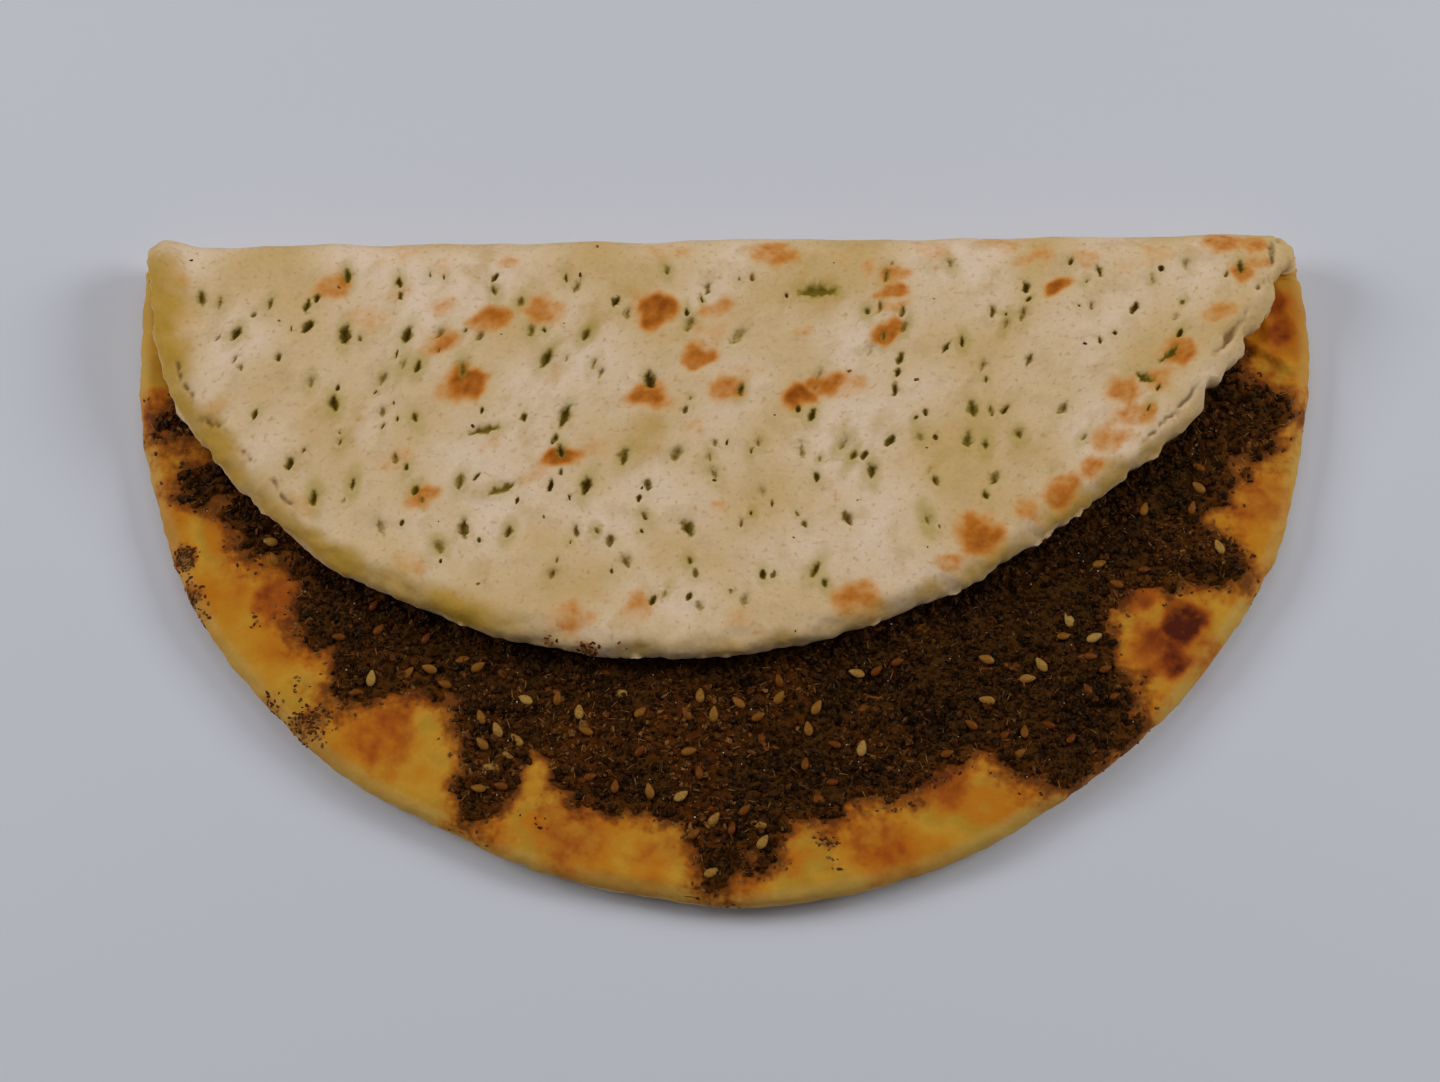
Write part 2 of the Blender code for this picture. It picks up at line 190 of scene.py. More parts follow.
# %% The fold's rule
BEND_RADIUS, BEND_STARTS_AT, BEND_TILT = 9.0 * MM, 9.8 * MM, 0.012
SETTLED_HEIGHT, SETTLES_OVER = 16.2 * MM, 60 * MM
FLAP_SHIFT, FLAP_SHIFTS_OVER = -9.0 * MM, 55 * MM
FLAP_WAVE, FLAP_WAVE_LENGTH, FLAP_WAVE_STARTS = 0.7 * MM, 38 * MM, 20 * MM
CORNER_LIFT, CORNER_REACH = 2.2 * MM, 14 * MM


def bend_start(u):
    """Where the sheet begins to bend: a line with a slight slant and small kinks."""
    kinks = 0.7 * MM * ripple(u, 0, 30 * MM, 3.0) + 0.4 * MM * ripple(u, 0, 11 * MM, 5.0)
    corner = smooth(BREAD_RADIUS - CORNER_REACH, BREAD_RADIUS - 0.25 * CORNER_REACH, -u)
    return BEND_STARTS_AT + BEND_TILT * u + kinks + CORNER_LIFT * corner


def past_bend(u, v):
    """Length of flap between the end of the bend and a flat point, below 0 before it."""
    return v - bend_start(u) - math.pi * BEND_RADIUS


def flap_shift(run):
    return FLAP_SHIFT * smooth(0, FLAP_SHIFTS_OVER, run)


def flap_top(u, run):
    """Height of the flap's crust above the table."""
    wave = 0.5 + 0.5 * ripple(u, run, FLAP_WAVE_LENGTH, 1.0)
    settled = 2 * BEND_RADIUS - (2 * BEND_RADIUS - SETTLED_HEIGHT) * smooth(0, SETTLES_OVER, run)
    return settled + FLAP_WAVE * wave * smooth(0, FLAP_WAVE_STARTS, run)


def fold(u, v, h):
    """Where a flat point lies once the bread is folded."""
    start, run = bend_start(u), past_bend(u, v)
    if v <= start:
        return Vector((u, v, h))
    if run <= 0:
        turn = (v - start) / BEND_RADIUS
        reach = BEND_RADIUS - h
        return Vector((u, start + reach * math.sin(turn), BEND_RADIUS - reach * math.cos(turn)))
    return Vector((u + flap_shift(run), start - run, flap_top(u, run) - h))


def is_open(x, y, margin):
    """Whether a point of the base shows beside the flap, with a margin to the flap's edge."""
    run = bend_start(x) - y
    if run <= 0:
        return False
    u = x - flap_shift(run)
    return from_rim(u, bend_start(u) + math.pi * BEND_RADIUS + run) < -margin


print("flat point 100 mm up the sheet lands at", [round(c / MM, 1) for c in fold(0, 0.1, 0)])

# %% [markdown]
# ## Prick marks
#
# Before baking, the dough is pricked so that steam can leave and it stays flat. The pins leave
# small slots, about as far apart as a fingertip is wide, most of them longer than wide because
# the dough was stretched afterwards. An even grid would look like a machine's work, so the grid
# is jittered with a fixed seed, and a few long marks that stand out are listed one by one.

# %% Where the dough was pricked
PRICK_PITCH, PRICK_JITTER, PRICK_SEED = 9.3 * MM, 3.6 * MM, 11
PRICKS_FROM_RIM, PRICKS_PAST_BEND, PRICKS_APART = 8.5 * MM, -1.5 * MM, 4.4 * MM
# Half widths, half lengths as shares of the half width, and the widest turn in radians
PRICK_WIDTH, PRICK_LENGTH, PRICK_TURN = (0.6 * MM, 1.2 * MM), (1.2, 2.2), 0.6
# Where a pin slipped and pricked twice: gap to the first mark, its sizes, and how often
SECOND_GAP, SECOND_WIDTH, SECOND_LENGTH = (0.8 * MM, 2.2 * MM), (0.35 * MM, 0.7 * MM), (1.1, 2.6)
SECOND_SHARE = 0.75
# The crumb closed over the tips of the pins, so the marks look slimmer, longer and shallower
SEEN_SLIMMER, SEEN_LONGER, SEEN_PRICK_DEPTH = 0.95, 1.08, 1.7 * MM
# Marks that stand out: u and v, half width and half length in mm, and turn in radians
LONG_PRICKS = (
    (20, 45, 1.3, 4.4, 1.45), (-43, 74, 0.8, 3.4, 1.3), (-37, 87, 0.8, 3.2, 1.25),
    (-27, 72, 1.2, 2.9, 0.1), (5, 55, 1.3, 2.4, 0.5), (96, 61, 0.8, 2.6, 0.8),
    (92, 66, 0.8, 2.6, -1.1),
)


def takes_marks(u, v):
    return from_rim(u, v) > PRICKS_FROM_RIM and past_bend(u, v) > PRICKS_PAST_BEND


def draw_mark(draw, widths, lengths):
    """Half width, half length and turn of a mark."""
    half_width = draw.uniform(*widths)
    half_length = half_width * draw.uniform(*lengths)
    return half_width, half_length, draw.uniform(-PRICK_TURN, PRICK_TURN)


def prick_marks():
    """(u, v, half width, half length, turn) of each mark on the flap, the largest first."""
    draw = random.Random(PRICK_SEED)
    marks = [(u * MM, v * MM, w * MM, l * MM, turn) for u, v, w, l, turn in LONG_PRICKS]
    count = int(2 * BREAD_RADIUS / PRICK_PITCH) + 1
    for row in range(count):
        for column in range(count):
            u = (column - count / 2 + 0.5 * (row % 2)) * PRICK_PITCH
            v = (row - count / 2) * PRICK_PITCH
            u += draw.uniform(-PRICK_JITTER, PRICK_JITTER)
            v += draw.uniform(-PRICK_JITTER, PRICK_JITTER)
            mark = (u, v, *draw_mark(draw, PRICK_WIDTH, PRICK_LENGTH))
            apart = all(math.hypot(u - m[0], v - m[1]) > PRICKS_APART + m[3] for m in marks)
            if takes_marks(u, v) and apart:
                marks.append(mark)
    return sorted(marks, key=lambda mark: -mark[2] * mark[3])


def second_marks(first):
    """Small marks beside some of the first."""
    draw = random.Random(PRICK_SEED + 1)
    marks = []
    for mark in first:
        direction = draw.uniform(0, 2 * math.pi)
        gap = mark[3] + draw.uniform(*SECOND_GAP)
        u, v = mark[0] + gap * math.cos(direction), mark[1] + gap * math.sin(direction)
        second = (u, v, *draw_mark(draw, SECOND_WIDTH, SECOND_LENGTH))
        if takes_marks(u, v) and draw.random() < SECOND_SHARE:
            marks.append(second)
    return marks


marks = [(u, v, SEEN_SLIMMER * half_width, SEEN_LONGER * half_length, turn)
         for u, v, half_width, half_length, turn in prick_marks()]
single = len(marks)
marks += second_marks(marks)
print("prick marks", single, "and second ones", len(marks) - single)

# %% How each mark looks, and which is nearest
# Side of the squares that marks are looked up by, and the half length that makes a long mark
MARK_CELL, LONG_MARK = 10 * MM, 2.8 * MM
# How far a mark's outline is drawn out of true, and over what length
MARK_WARP, MARK_WARP_LENGTH = 0.42 * MM, 1.4 * MM
NO_MARK = (0, 0, MM, MM, 0)
# How dark each mark is, and how far oil spread round it. The long ones are dark
LONG_MARK_LOOK = (0.9, 0.3)
draw = random.Random(PRICK_SEED + 2)
mark_looks = {mark: (draw.uniform(0.4, 1.0), draw.uniform(0, 1) ** 2) for mark in marks}
mark_looks.update({mark: LONG_MARK_LOOK for mark in marks if mark[3] > LONG_MARK})
mark_looks[NO_MARK] = (0, 0)
# The marks in and round each square of a coarse grid, so that few are tried for a point
marks_near = {}
for mark in marks:
    for step_u in (-1, 0, 1):
        for step_v in (-1, 0, 1):
            cell = (round(mark[0] / MARK_CELL) + step_u, round(mark[1] / MARK_CELL) + step_v)
            marks_near.setdefault(cell, []).append(mark)


def turn_by(across, along, turn):
    """A flat step after a turn in radians."""
    cosine, sine = math.cos(turn), math.sin(turn)
    return across * cosine - along * sine, across * sine + along * cosine


def in_mark(u, v, mark):
    """How far out of a mark's middle a point is: 0 in the middle, 1 on its rim."""
    across, along = turn_by(u - mark[0], v - mark[1], -mark[4])
    return math.hypot(across / mark[2], along / mark[3])


def mark_ring(mark, share, sides):
    """Points round a mark at a share of its size."""
    ring = []
    for side in range(sides):
        turn = 2 * math.pi * (side + 0.5) / sides
        across, along = share * mark[2] * math.cos(turn), share * mark[3] * math.sin(turn)
        across, along = turn_by(across, along, mark[4])
        ring.append((mark[0] + across, mark[1] + along))
    return ring


def nearest_mark(u, v):
    """The distance to the nearest mark in shares of its size, at most 9, and the mark."""
    cell = (round(u / MARK_CELL), round(v / MARK_CELL))
    u += MARK_WARP * ripple(u, v, MARK_WARP_LENGTH, 31.0)
    v += MARK_WARP * ripple(u, v, MARK_WARP_LENGTH, 32.0)
    found = [(in_mark(u, v, mark), mark) for mark in marks_near.get(cell, ())]
    return min(found, default=(9.0, NO_MARK))


print("squares with marks", len(marks_near))

# %% [markdown]
# ## One closed sheet
#
# Both layers are closed sheets: an upper face and a lower face that share an outline. A grid
# would leave steps at a round rim, so points are laid out flat, close together only where the
# surface shows, and Delaunay triangulation joins them. Rings of points follow the outline, so
# that the edge rounds over evenly. Each point keeps its flat place as an attribute, because a
# pattern drawn on the flat sheet then follows the dough round the bend.

# %% Points on the flat sheet, and the sheet as a mesh
# The lattice reaches past the stretches that were rolled out further
SHEET_REACH = 1.05 * BREAD_RADIUS


def directions(step):
    """Directions right round the sheet, in radians."""
    found, angle = [], -math.pi
    while angle < math.pi - 0.5 * step:
        found.append(angle)
        angle += step
    return found


def ring_of(outline, inset):
    return [((radius - inset) * math.cos(angle), (radius - inset) * math.sin(angle))
            for angle, radius in outline]


def lattice(step, keep):
    """Points of a triangular lattice that keep(u, v) accepts."""
    row_step = step * math.sqrt(3) / 2
    rows, columns = int(SHEET_REACH / row_step) + 1, int(SHEET_REACH / step) + 1
    points = []
    for row in range(-rows, rows + 1):
        for column in range(-columns, columns + 1):
            u, v = (column + 0.5 * (row % 2)) * step, row * row_step
            if keep(u, v):
                points.append((u, v))
    return points


def add_object(name, data):
    made = bpy.data.objects.new(name, data)
    bpy.context.scene.collection.objects.link(made)
    return made


def closed_sheet(name, outline, brim, sides):
    """A closed layer. Each side is (insets of its rings, inner points, height, faces up)."""
    flat = [(u, v, brim(u, v)) for u, v in ring_of(outline, 0)]
    count = len(flat)
    faces = []
    for insets, inside, height, faces_up in sides:
        points = [Vector(place[:2]) for place in flat[:count]]
        loops = [range(count)]
        for inset in insets:
            loops.append(range(len(points), len(points) + count))
            points += [Vector(point) for point in ring_of(outline, inset)]
        points += [Vector(point) for point in inside]
        numbers = list(range(count)) + [len(flat) + k for k in range(len(points) - count)]
        flat += [(point.x, point.y, height(point.x, point.y)) for point in points[count:]]
        edges = [(i, loop[(k + 1) % count]) for loop in loops for k, i in enumerate(loop)]
        found = geometry.delaunay_2d_cdt(points, edges, [], 1, 1e-8)
        source = [numbers[originals[0]] for originals in found[3]]
        for corners in found[2]:
            face = [source[corner] for corner in corners]
            faces.append(face if faces_up else face[::-1])
    used = sorted({corner for face in faces for corner in face})
    renumbered = {old: new for new, old in enumerate(used)}
    places = [flat[old] for old in used]
    mesh = bpy.data.meshes.new(name)
    mesh.from_pydata([fold(*place) for place in places], [],
                     [[renumbered[corner] for corner in face] for face in faces])
    mesh.attributes.new("flat_place", "FLOAT_VECTOR", "POINT")
    mesh.attributes["flat_place"].data.foreach_set("vector", np.ravel(places))
    mesh.shade_smooth()
    return add_object(name, mesh), np.array(places)


def push_out(made, amounts):
    """Moves each point along its own normal: the relief of a surface."""
    vertices = made.data.vertices
    normals, places = np.empty(3 * len(vertices)), np.empty(3 * len(vertices))
    vertices.foreach_get("normal", normals)
    vertices.foreach_get("co", places)
    places = places.reshape(-1, 3) + normals.reshape(-1, 3) * np.asarray(amounts)[:, None]
    places[:, 2] = np.maximum(places[:, 2], 0.0)
    vertices.foreach_set("co", places.ravel())
    made.data.update()


print("lattice points 20 mm apart", len(lattice(20 * MM, lambda u, v: from_rim(u, v) > 0)))

# %% [markdown]
# ## The dough
#
# The flap's pale face and its thick torn edge fill most of the view, so they get a point every
# 0.8 mm, and each prick mark gets rings of its own. The resting face and the inside of the
# fold hardly show and stay coarse. Near the two ends of the fold the crust split open along
# the rim, which leaves a dark split beside a pale lip. A texture could only paint it, so it is
# pressed into the mesh, and the finish adds painted shade in it as well.

# %% Torn outline, splits and pressed marks
OUTLINE_STEP = 0.9 * MM
# Splits beside the rim: from and to in degrees, inset, half width and depth in mm
SPLITS = ((11, 31, 3.8, 0.55, 1.3), (34, 40, 4.2, 0.5, 0.7), (131, 140, 4.4, 0.3, 0.5),
          (143, 153, 3.8, 0.45, 1.0))
# Degrees outside and inside a split's ends over which it runs out
SPLIT_OUTSIDE, SPLIT_INSIDE = 2, 1
# The lip that a pin raised round its mark, and how deep the faintest mark is beside the darkest
MARK_LIP, FAINTEST = 0.12 * MM, 0.45
# Notches where the crust tore at the outline: direction, depth in mm, half width in degrees
TEARS = ((20.5, 1.7, 0.9), (26.5, 1.5, 0.8), (32.5, 2.1, 1.0), (38.0, 0.8, 0.8), (58.0, 0.9, 0.7))


def ragged_outline(angle):
    """The dough's outline with the small steps of a torn crust."""
    place = Vector((math.cos(angle), math.sin(angle), 0)) * BREAD_RADIUS
    on_flap = smooth(-0.1, 0.35, math.sin(angle))
    steps = 0.5 * noise.noise(place / (6 * MM)) + 0.5 * noise.noise(place / (2.2 * MM))
    right_end = smooth(8, 16, math.degrees(angle)) * (1 - smooth(55, 75, math.degrees(angle)))
    radius = bread_outline(angle) + steps * MM * (0.45 + 0.65 * on_flap + 0.9 * right_end)
    for direction, depth, half_width in TEARS:
        radius -= depth * MM * math.exp(-((degrees_off(angle, direction) / half_width) ** 2))
    return radius


def split(u, v):
    """How far a point is in a split, 0 to 1, and the depth there."""
    direction = math.degrees(math.atan2(v, u)) % 360
    for start, end, middle, half_width, depth in SPLITS:
        first, last = start - SPLIT_OUTSIDE, end + SPLIT_OUTSIDE
        if first < direction < last:
            wander = (1.5 * ripple(u, v, 9 * MM, 4.0) + 1.2 * ripple(u, v, 3 * MM, 6.0)) * MM
            away = abs(from_rim(u, v) - middle * MM - wander) / (half_width * MM)
            ends = smooth(first, start + SPLIT_INSIDE, direction)
            ends *= 1 - smooth(end - SPLIT_INSIDE, last, direction)
            torn = smooth(-0.4, 0.1, ripple(u, v, 5 * MM, 8.0))
            share = ends * torn * (1 - smooth(0.2, 1.3, away))
            return share, share * depth * MM
    return 0.0, 0.0


def crust_height(u, v):
    """The underside of the dough, with prick marks and splits pressed into it."""
    away, mark = nearest_mark(u, v)
    darkness = FAINTEST + (1 - FAINTEST) * mark_looks[mark][0]
    depth = SEEN_PRICK_DEPTH * darkness * min(1, mark[2] / MM)
    pit = depth * (1 - smooth(0.3, 1.1, away))
    lip = MARK_LIP * smooth(0.95, 1.25, away) * (1 - smooth(1.25, 2.2, away))
    return under_height(u, v) + pit - lip + split(u, v)[1]


outline = [(angle, ragged_outline(angle)) for angle in directions(OUTLINE_STEP / BREAD_RADIUS)]
print("points round the dough", len(outline))

# %% Make the dough
UNDER_RINGS = [inset * MM for inset in (0.3, 0.8, 1.5, 2.3, 3.2, 4.1, 5.0, 6.0, 7.0)]
UPPER_RINGS = [inset * MM for inset in (0.3, 0.8, 1.5, 2.3, 3.4, 4.6)]
FLAP_STEP, BEND_STEP, REST_STEP = 0.8 * MM, 1.1 * MM, 2.2 * MM
RIM_FACE_STEP, HIDDEN_STEP = 1.1 * MM, 5.0 * MM
# Rings of points round each mark: share of its size and number of points, and the room for them
MARK_RINGS, MARK_ROOM = ((0.5, 6), (0.85, 8), (1.1, 8), (1.5, 8)), 1.75


def crust_inside(u, v):
    clear_of_rings = from_rim(u, v) > UNDER_RINGS[-1] + 0.6 * FLAP_STEP
    return clear_of_rings and nearest_mark(u, v)[0] > MARK_ROOM


def face_inside(u, v):
    return from_rim(u, v) > UPPER_RINGS[-1] + 0.6 * RIM_FACE_STEP


crust_points = lattice(FLAP_STEP, lambda u, v: past_bend(u, v) > 0 and crust_inside(u, v))
crust_points += lattice(BEND_STEP, lambda u, v: v > bend_start(u) - 3 * MM
                        and past_bend(u, v) < 0 and crust_inside(u, v))
crust_points += lattice(REST_STEP, lambda u, v: v < bend_start(u) - 4 * MM and crust_inside(u, v))
for mark in marks:
    crust_points.append(mark[:2])
    for share, sides in MARK_RINGS:
        crust_points += mark_ring(mark, share, sides)
face_points = lattice(RIM_FACE_STEP, lambda u, v: face_inside(u, v)
                      and from_rim(u, v) < 30 * MM and is_open(u, v, -4 * MM))
face_points += lattice(HIDDEN_STEP, lambda u, v: face_inside(u, v)
                       and not (from_rim(u, v) < 32 * MM and is_open(u, v, -6 * MM)))
dough, dough_places = closed_sheet("baked_dough", outline, edge_height, (
    (UNDER_RINGS, crust_points, crust_height, False),
    (UPPER_RINGS, face_points, upper_height, True),
))
print("dough triangles", len(dough.data.polygons))

# %% [markdown]
# ## Relief of the crust
#
# Baked dough is never smooth: it has slow swells from the steam, small blisters, and a rough
# torn wall at the rim. A bump in the finish would vanish at the outline, so noise of several
# sizes is read at the flat place and pushes the surface out along its normal. The resting face
# is left flat, because it lies on the table.

# %% Swells, blisters, the rough wall and creases
# Height and width in mm of each size of unevenness, all over and on the torn wall
SWELLS_AND_BLISTERS = ((0.35, 17), (0.16, 5.0), (0.07, 1.9))
TORN_WALL = ((0.62, 5.0), (0.34, 1.7))
WALL_WIDTH = 6.5 * MM
# Relief fades by this share towards the flap's widest edge, so that its lip stays whole
LIP_CALM = 0.65
# Creases on the open rim, where the dough was pushed together: from, to, height and half width,
# all in mm, and then how far they wander
CREASES = (
    ((110, -3), (120, -9), 1.5, 1.8), ((114, 7), (116, -3), 0.9, 1.5),
    ((118, 10), (121, 0), 0.7, 1.4), ((-86, -76), (-80, -92), 0.5, 2.2),
    ((-24, -119), (-8, -122), 0.4, 2.0), ((98, -52), (108, -56), 0.5, 2.0),
)
CREASE_WANDER, CREASE_WANDER_LENGTH = 0.8, 3 * MM


def unevenness(place, sizes):
    """Noise of several sizes added up."""
    return sum(height * MM * noise.noise(place / (width * MM)) for height, width in sizes)


def crease_height(u, v):
    """Height of the crease at a point, 0 where there is none."""
    point, height = Vector((u, v)) / MM, 0.0
    wander = CREASE_WANDER * ripple(u, v, CREASE_WANDER_LENGTH, 18.0)
    for start, end, peak, half_width in CREASES:
        start, end = Vector(start), Vector(end)
        share = min(1.0, max(0.0, geometry.intersect_point_line(point, start, end)[1]))
        away = (point - start.lerp(end, share)).length + wander
        height = max(height, peak * MM * (1 - smooth(0, half_width, away)))
    return height


def crust_relief(u, v, h):
    """How far a point of the dough is pushed out along its normal."""
    place = Vector((u, v, 2 * h))
    wall = 1 - smooth(0.3 * WALL_WIDTH, WALL_WIDTH, from_rim(u, v))
    torn = 0.35 + 0.65 * smooth(-0.2, 0.4, math.sin(math.atan2(v, u)))
    amount = unevenness(place, SWELLS_AND_BLISTERS) + torn * wall * unevenness(place, TORN_WALL)
    below = h < 0.5 * edge_height(u, v)
    if past_bend(u, v) > 0:
        amount *= 1 - LIP_CALM * smooth(0.4, 1.0, h / edge_height(u, v))
    if v < bend_start(u) and not below:
        amount += crease_height(u, v)
    return 0.0 if below and v < bend_start(u) + 2 * MM else amount


push_out(dough, [crust_relief(*place) for place in dough_places])
print("dough box in mm", [round(side / MM, 1) for side in dough.dimensions])

# %% [markdown]
# ## Where the dough is toasted, oiled, stained or painted with shade
#
# The oven floor scorched the underside in soft orange-brown spots with darker cores, oil soaked
# through in yellow-green zones and round some prick marks, and the topping stained the rim
# beside it. Shade is also painted along the top of the fold, where the bend turns away from the
# light, and into the splits beside the rim. A painted picture could hold this, but soft shapes
# are easier to change as one number for each point of the mesh, worked out from a few spots
# with an uneven edge. The shader turns the numbers to colour.

# %% Spots of toast, oil and painted shade
# Each spot: u and v and radius in mm, and strength. These were scorched on the flap
SCORCHES = (
    (-81, 41, 5, 0.75), (-75, 48, 5, 0.55), (-67, 43, 3.5, 0.5), (-59, 37, 4, 0.5),
    (-59, 46, 4, 0.6), (-57, 54, 5.5, 0.8), (-45, 36, 3, 0.65), (-47, 49, 4.5, 0.9),
    (-37, 47, 4.5, 0.75), (-50, 64, 5.5, 0.95), (-40, 77, 3.5, 0.45), (-30, 62, 3.5, 0.35),
    (-26, 81, 5, 1.0), (-31, 85, 4, 0.55), (-19, 78, 4, 0.5), (-13, 48, 5, 1.0), (-17, 45, 4, 0.45),
    (-1, 48, 4, 0.7), (-1, 53, 4, 0.55), (-2, 59, 4, 0.9), (-10, 67, 5, 0.9), (5, 67, 5, 0.85),
    (8, 64, 4, 0.5), (21, 69, 5, 1.0), (26, 66, 5, 0.85), (31, 68, 4, 0.6), (18, 54, 3.5, 0.55),
    (10, 36, 6, 0.8), (25, 37, 3, 0.45), (31, 40, 2.5, 0.6), (36, 41, 3, 0.75), (36, 45, 3, 0.85),
    (36, 49, 2.5, 0.65), (36, 54, 3, 0.9), (70, 44, 3.5, 1.0), (65, 38, 3.5, 0.6), (77, 37, 4, 0.6),
    (91, 37, 4, 0.6), (85, 40, 3.5, 0.45), (105, 36, 4.5, 0.8), (111, 35, 4, 0.8),
    (112, 40, 3, 0.75), (109, 43, 3.5, 0.9), (105, 51, 4, 0.7), (98, 61, 5, 0.85), (96, 67, 4, 0.7),
    (88, 69, 5, 0.8), (92, 74, 5, 0.75), (88, 79, 5, 0.65), (84, 85, 4.5, 0.8), (79, 90, 5, 0.85),
    (73, 95, 4, 0.75), (61, 100, 6, 0.9), (55, 105, 4.5, 0.7), (36, 113, 6, 0.75),
    (12, 119, 5, 0.45), (-9, 114, 5, 0.65), (-22, 116, 6, 0.65), (-37, 112, 4, 0.35),
    (-55, 104, 4.5, 0.5), (-54, 89, 4.5, 0.75), (-60, 81, 4.5, 0.5), (-69, 81, 3, 0.35),
    (-77, 90, 5, 0.45), (-91, 78, 3.5, 0.45), (-100, 67, 4, 0.45), (-114, 40, 4, 0.5),
    (-112, 49, 4, 0.5), (1, 75, 4, 0.45), (9, 94, 4, 0.55), (-28, 97, 4, 0.3), (45, 84, 4, 0.3),
    (30, 92, 4, 0.25), (-66, 70, 4, 0.25), (-69, 32, 6, 0.5), (-11, 33, 6, 0.5), (44, 34, 6, 0.55),
    (60, 32, 6, 0.5), (-97, 24, 5, 0.5), (-84, 17, 4, 0.4), (-40, 20, 6, 0.65), (-2, 14, 5, 0.5),
    (26, 22, 6, 0.7), (60, 16, 5, 0.45), (82, 24, 6, 0.65), (104, 18, 5, 0.5),
)
# Oily zones on the flap, and a row of painted shade along the top of the fold
OIL_AND_FOLD_SHADE_ZONES = (
    (-116, 43, 10, 0.9), (-113, 58, 9, 0.8), (-75, 73, 10, 0.6), (12, 41, 11, 0.7),
    (73, 79, 10, 0.6), (82, 97, 9, 0.8), (-21, 45, 8, 0.6), (-29, 52, 7, 0.6), (65, 107, 8, 0.7),
    (-10, 77, 6, 0.8), (20, 47, 7, 0.8), (100, 84, 8, 0.4), (40, 119, 7, 0.5), (-118, 50, 6, 1.0),
    (-9, 126, 6, 0.55), (8, 126, 6, 0.55), (90, 88, 5, 0.6), (22, 125, 6, 0.55), (52, 115, 6, 0.6),
    # The last six, in a row along the top of the fold, are painted shade where the bend turns from the
    # light
    (-92, 30, 12, 0.35), (-52, 28, 12, 0.35), (-25, 31, 11, 0.35), (22, 29, 12, 0.35),
    (55, 30, 12, 0.3), (86, 30, 12, 0.35),
)
# Burnt blots on the rim of the lower layer
RIM_BLOTS = (
    (89, -72, 8, 0.85), (95, -66, 6, 1.15), (85, -61, 6, 0.8), (99, -74, 7, 0.6),
    (92, -75, 5, 0.95), (116, 6, 5, 0.75), (118, -1, 5, 0.8), (116, -8, 4, 0.6), (112, -16, 6, 0.6),
    (122, -12, 5, 0.4), (112, -40, 9, 0.6), (99, -57, 6, 0.45), (-100, -55, 9, 0.45),
    (-92, -60, 7, 0.75), (-69, -91, 10, 0.65), (-63, -82, 7, 0.65), (-31, -112, 11, 0.6),
    (-14, -116, 7, 0.5), (31, -114, 9, 0.65), (46, -101, 7, 0.7), (-110, -34, 6, 0.45),
    (-45, -112, 6, 0.45), (60, -100, 5, 0.5), (-118, -18, 6, 0.55), (12, -112, 5, 0.5),
    (72, -92, 5, 0.45), (-84, -74, 5, 0.45),
)
# The resting face was scorched in the same way, so it gets spots from a fixed draw
REST_SPOTS, REST_SEED = 46, 17
REST_SPANS = ((-115, 115), (-115, 8), (4, 8), (0.3, 1.0))
draw = random.Random(REST_SEED)
rest_scorches = tuple([draw.uniform(*span) for span in REST_SPANS] for _ in range(REST_SPOTS))
print("scorched spots", len(SCORCHES), "oily zones", len(OIL_AND_FOLD_SHADE_ZONES))

# %% Spread the spots over the sheet
# The scorched spots are a little longer to the right, and a power above 1 keeps faint parts faint
SCORCH_STRETCH, SCORCH_COVERS, SCORCH_CONTRAST, BLOT_CONTRAST = 1.15, 0.95, 1.35, 1.15


def spread(places, spots, warp, stretch=1.0):
    """The strongest of the spots at each place, with edges that follow the warp."""
    amount = np.zeros(len(places))
    for u, v, radius, strength in spots:
        away_u = (places[:, 0] - u * MM + warp[:, 0]) / stretch
        away_v = (places[:, 1] - v * MM + warp[:, 1]) * stretch
        share = np.clip(1.35 - np.hypot(away_u, away_v) / (radius * MM), 0, 1)
        amount = np.maximum(amount, strength * share * share * (3 - 2 * share))
    return amount


def at_places(places, rule):
    """What a rule says at each flat place."""
    return np.array([rule(u, v) for u, v, _ in places])


def warp_of(places, wavelength, amount):
    """Sideways shifts that make a round spot uneven."""
    return at_places(places, lambda u, v: [
        amount * ripple(u, v, wavelength, layer) for layer in (11.0, 12.0)])


warp = warp_of(dough_places, 9 * MM, 2.6 * MM) + warp_of(dough_places, 3.2 * MM, 1.2 * MM)
is_crust = dough_places[:, 2] < at_places(dough_places, edge_height)
on_flap = at_places(dough_places, lambda u, v: smooth(-26 * MM, -16 * MM, past_bend(u, v)))
scorched = spread(dough_places, SCORCHES + rest_scorches, warp, SCORCH_STRETCH) ** SCORCH_CONTRAST
blotted = spread(dough_places, RIM_BLOTS, warp) ** BLOT_CONTRAST
toast = np.where(is_crust, SCORCH_COVERS * scorched, blotted)
print("share of the dough with toast", round(float((toast > 0.3).mean()), 2))

# %% Oil, painted shade, dark marks and pale edges
# A band of oil along the left wall of the flap, where it ran down: from and to in degrees, the
# degrees over which it fades in and out, and the insets between which it fades
OILY_WALL, WALL_FADES, WALL_INSETS = (100, 166), (12, 8), (2 * MM, 7.5 * MM)
# Oil shows less on the flap's face than at its edge
FACE_OIL = 0.55
# Where a mark's dark fades, in shares of its size, and how far and how much at least oil spread
PRICK_FADE, HALO_REACH, HALO_LEAST = (0.45, 1.4), 2.4 * MM, 0.25


def wall_oil(u, v):
    """How oily the flap's wall is at a point."""
    direction = math.degrees(math.atan2(v, u))
    first, last = OILY_WALL
    ends = smooth(first, first + WALL_FADES[0], direction)
    ends *= 1 - smooth(last - WALL_FADES[1], last, direction)
    inset = from_rim(u, v) + 2 * MM * ripple(u, v, 6 * MM, 14.0)
    patchy = 0.72 + 0.5 * ripple(u, v, 13 * MM, 15.0)
    return ends * (1 - smooth(*WALL_INSETS, inset)) * patchy


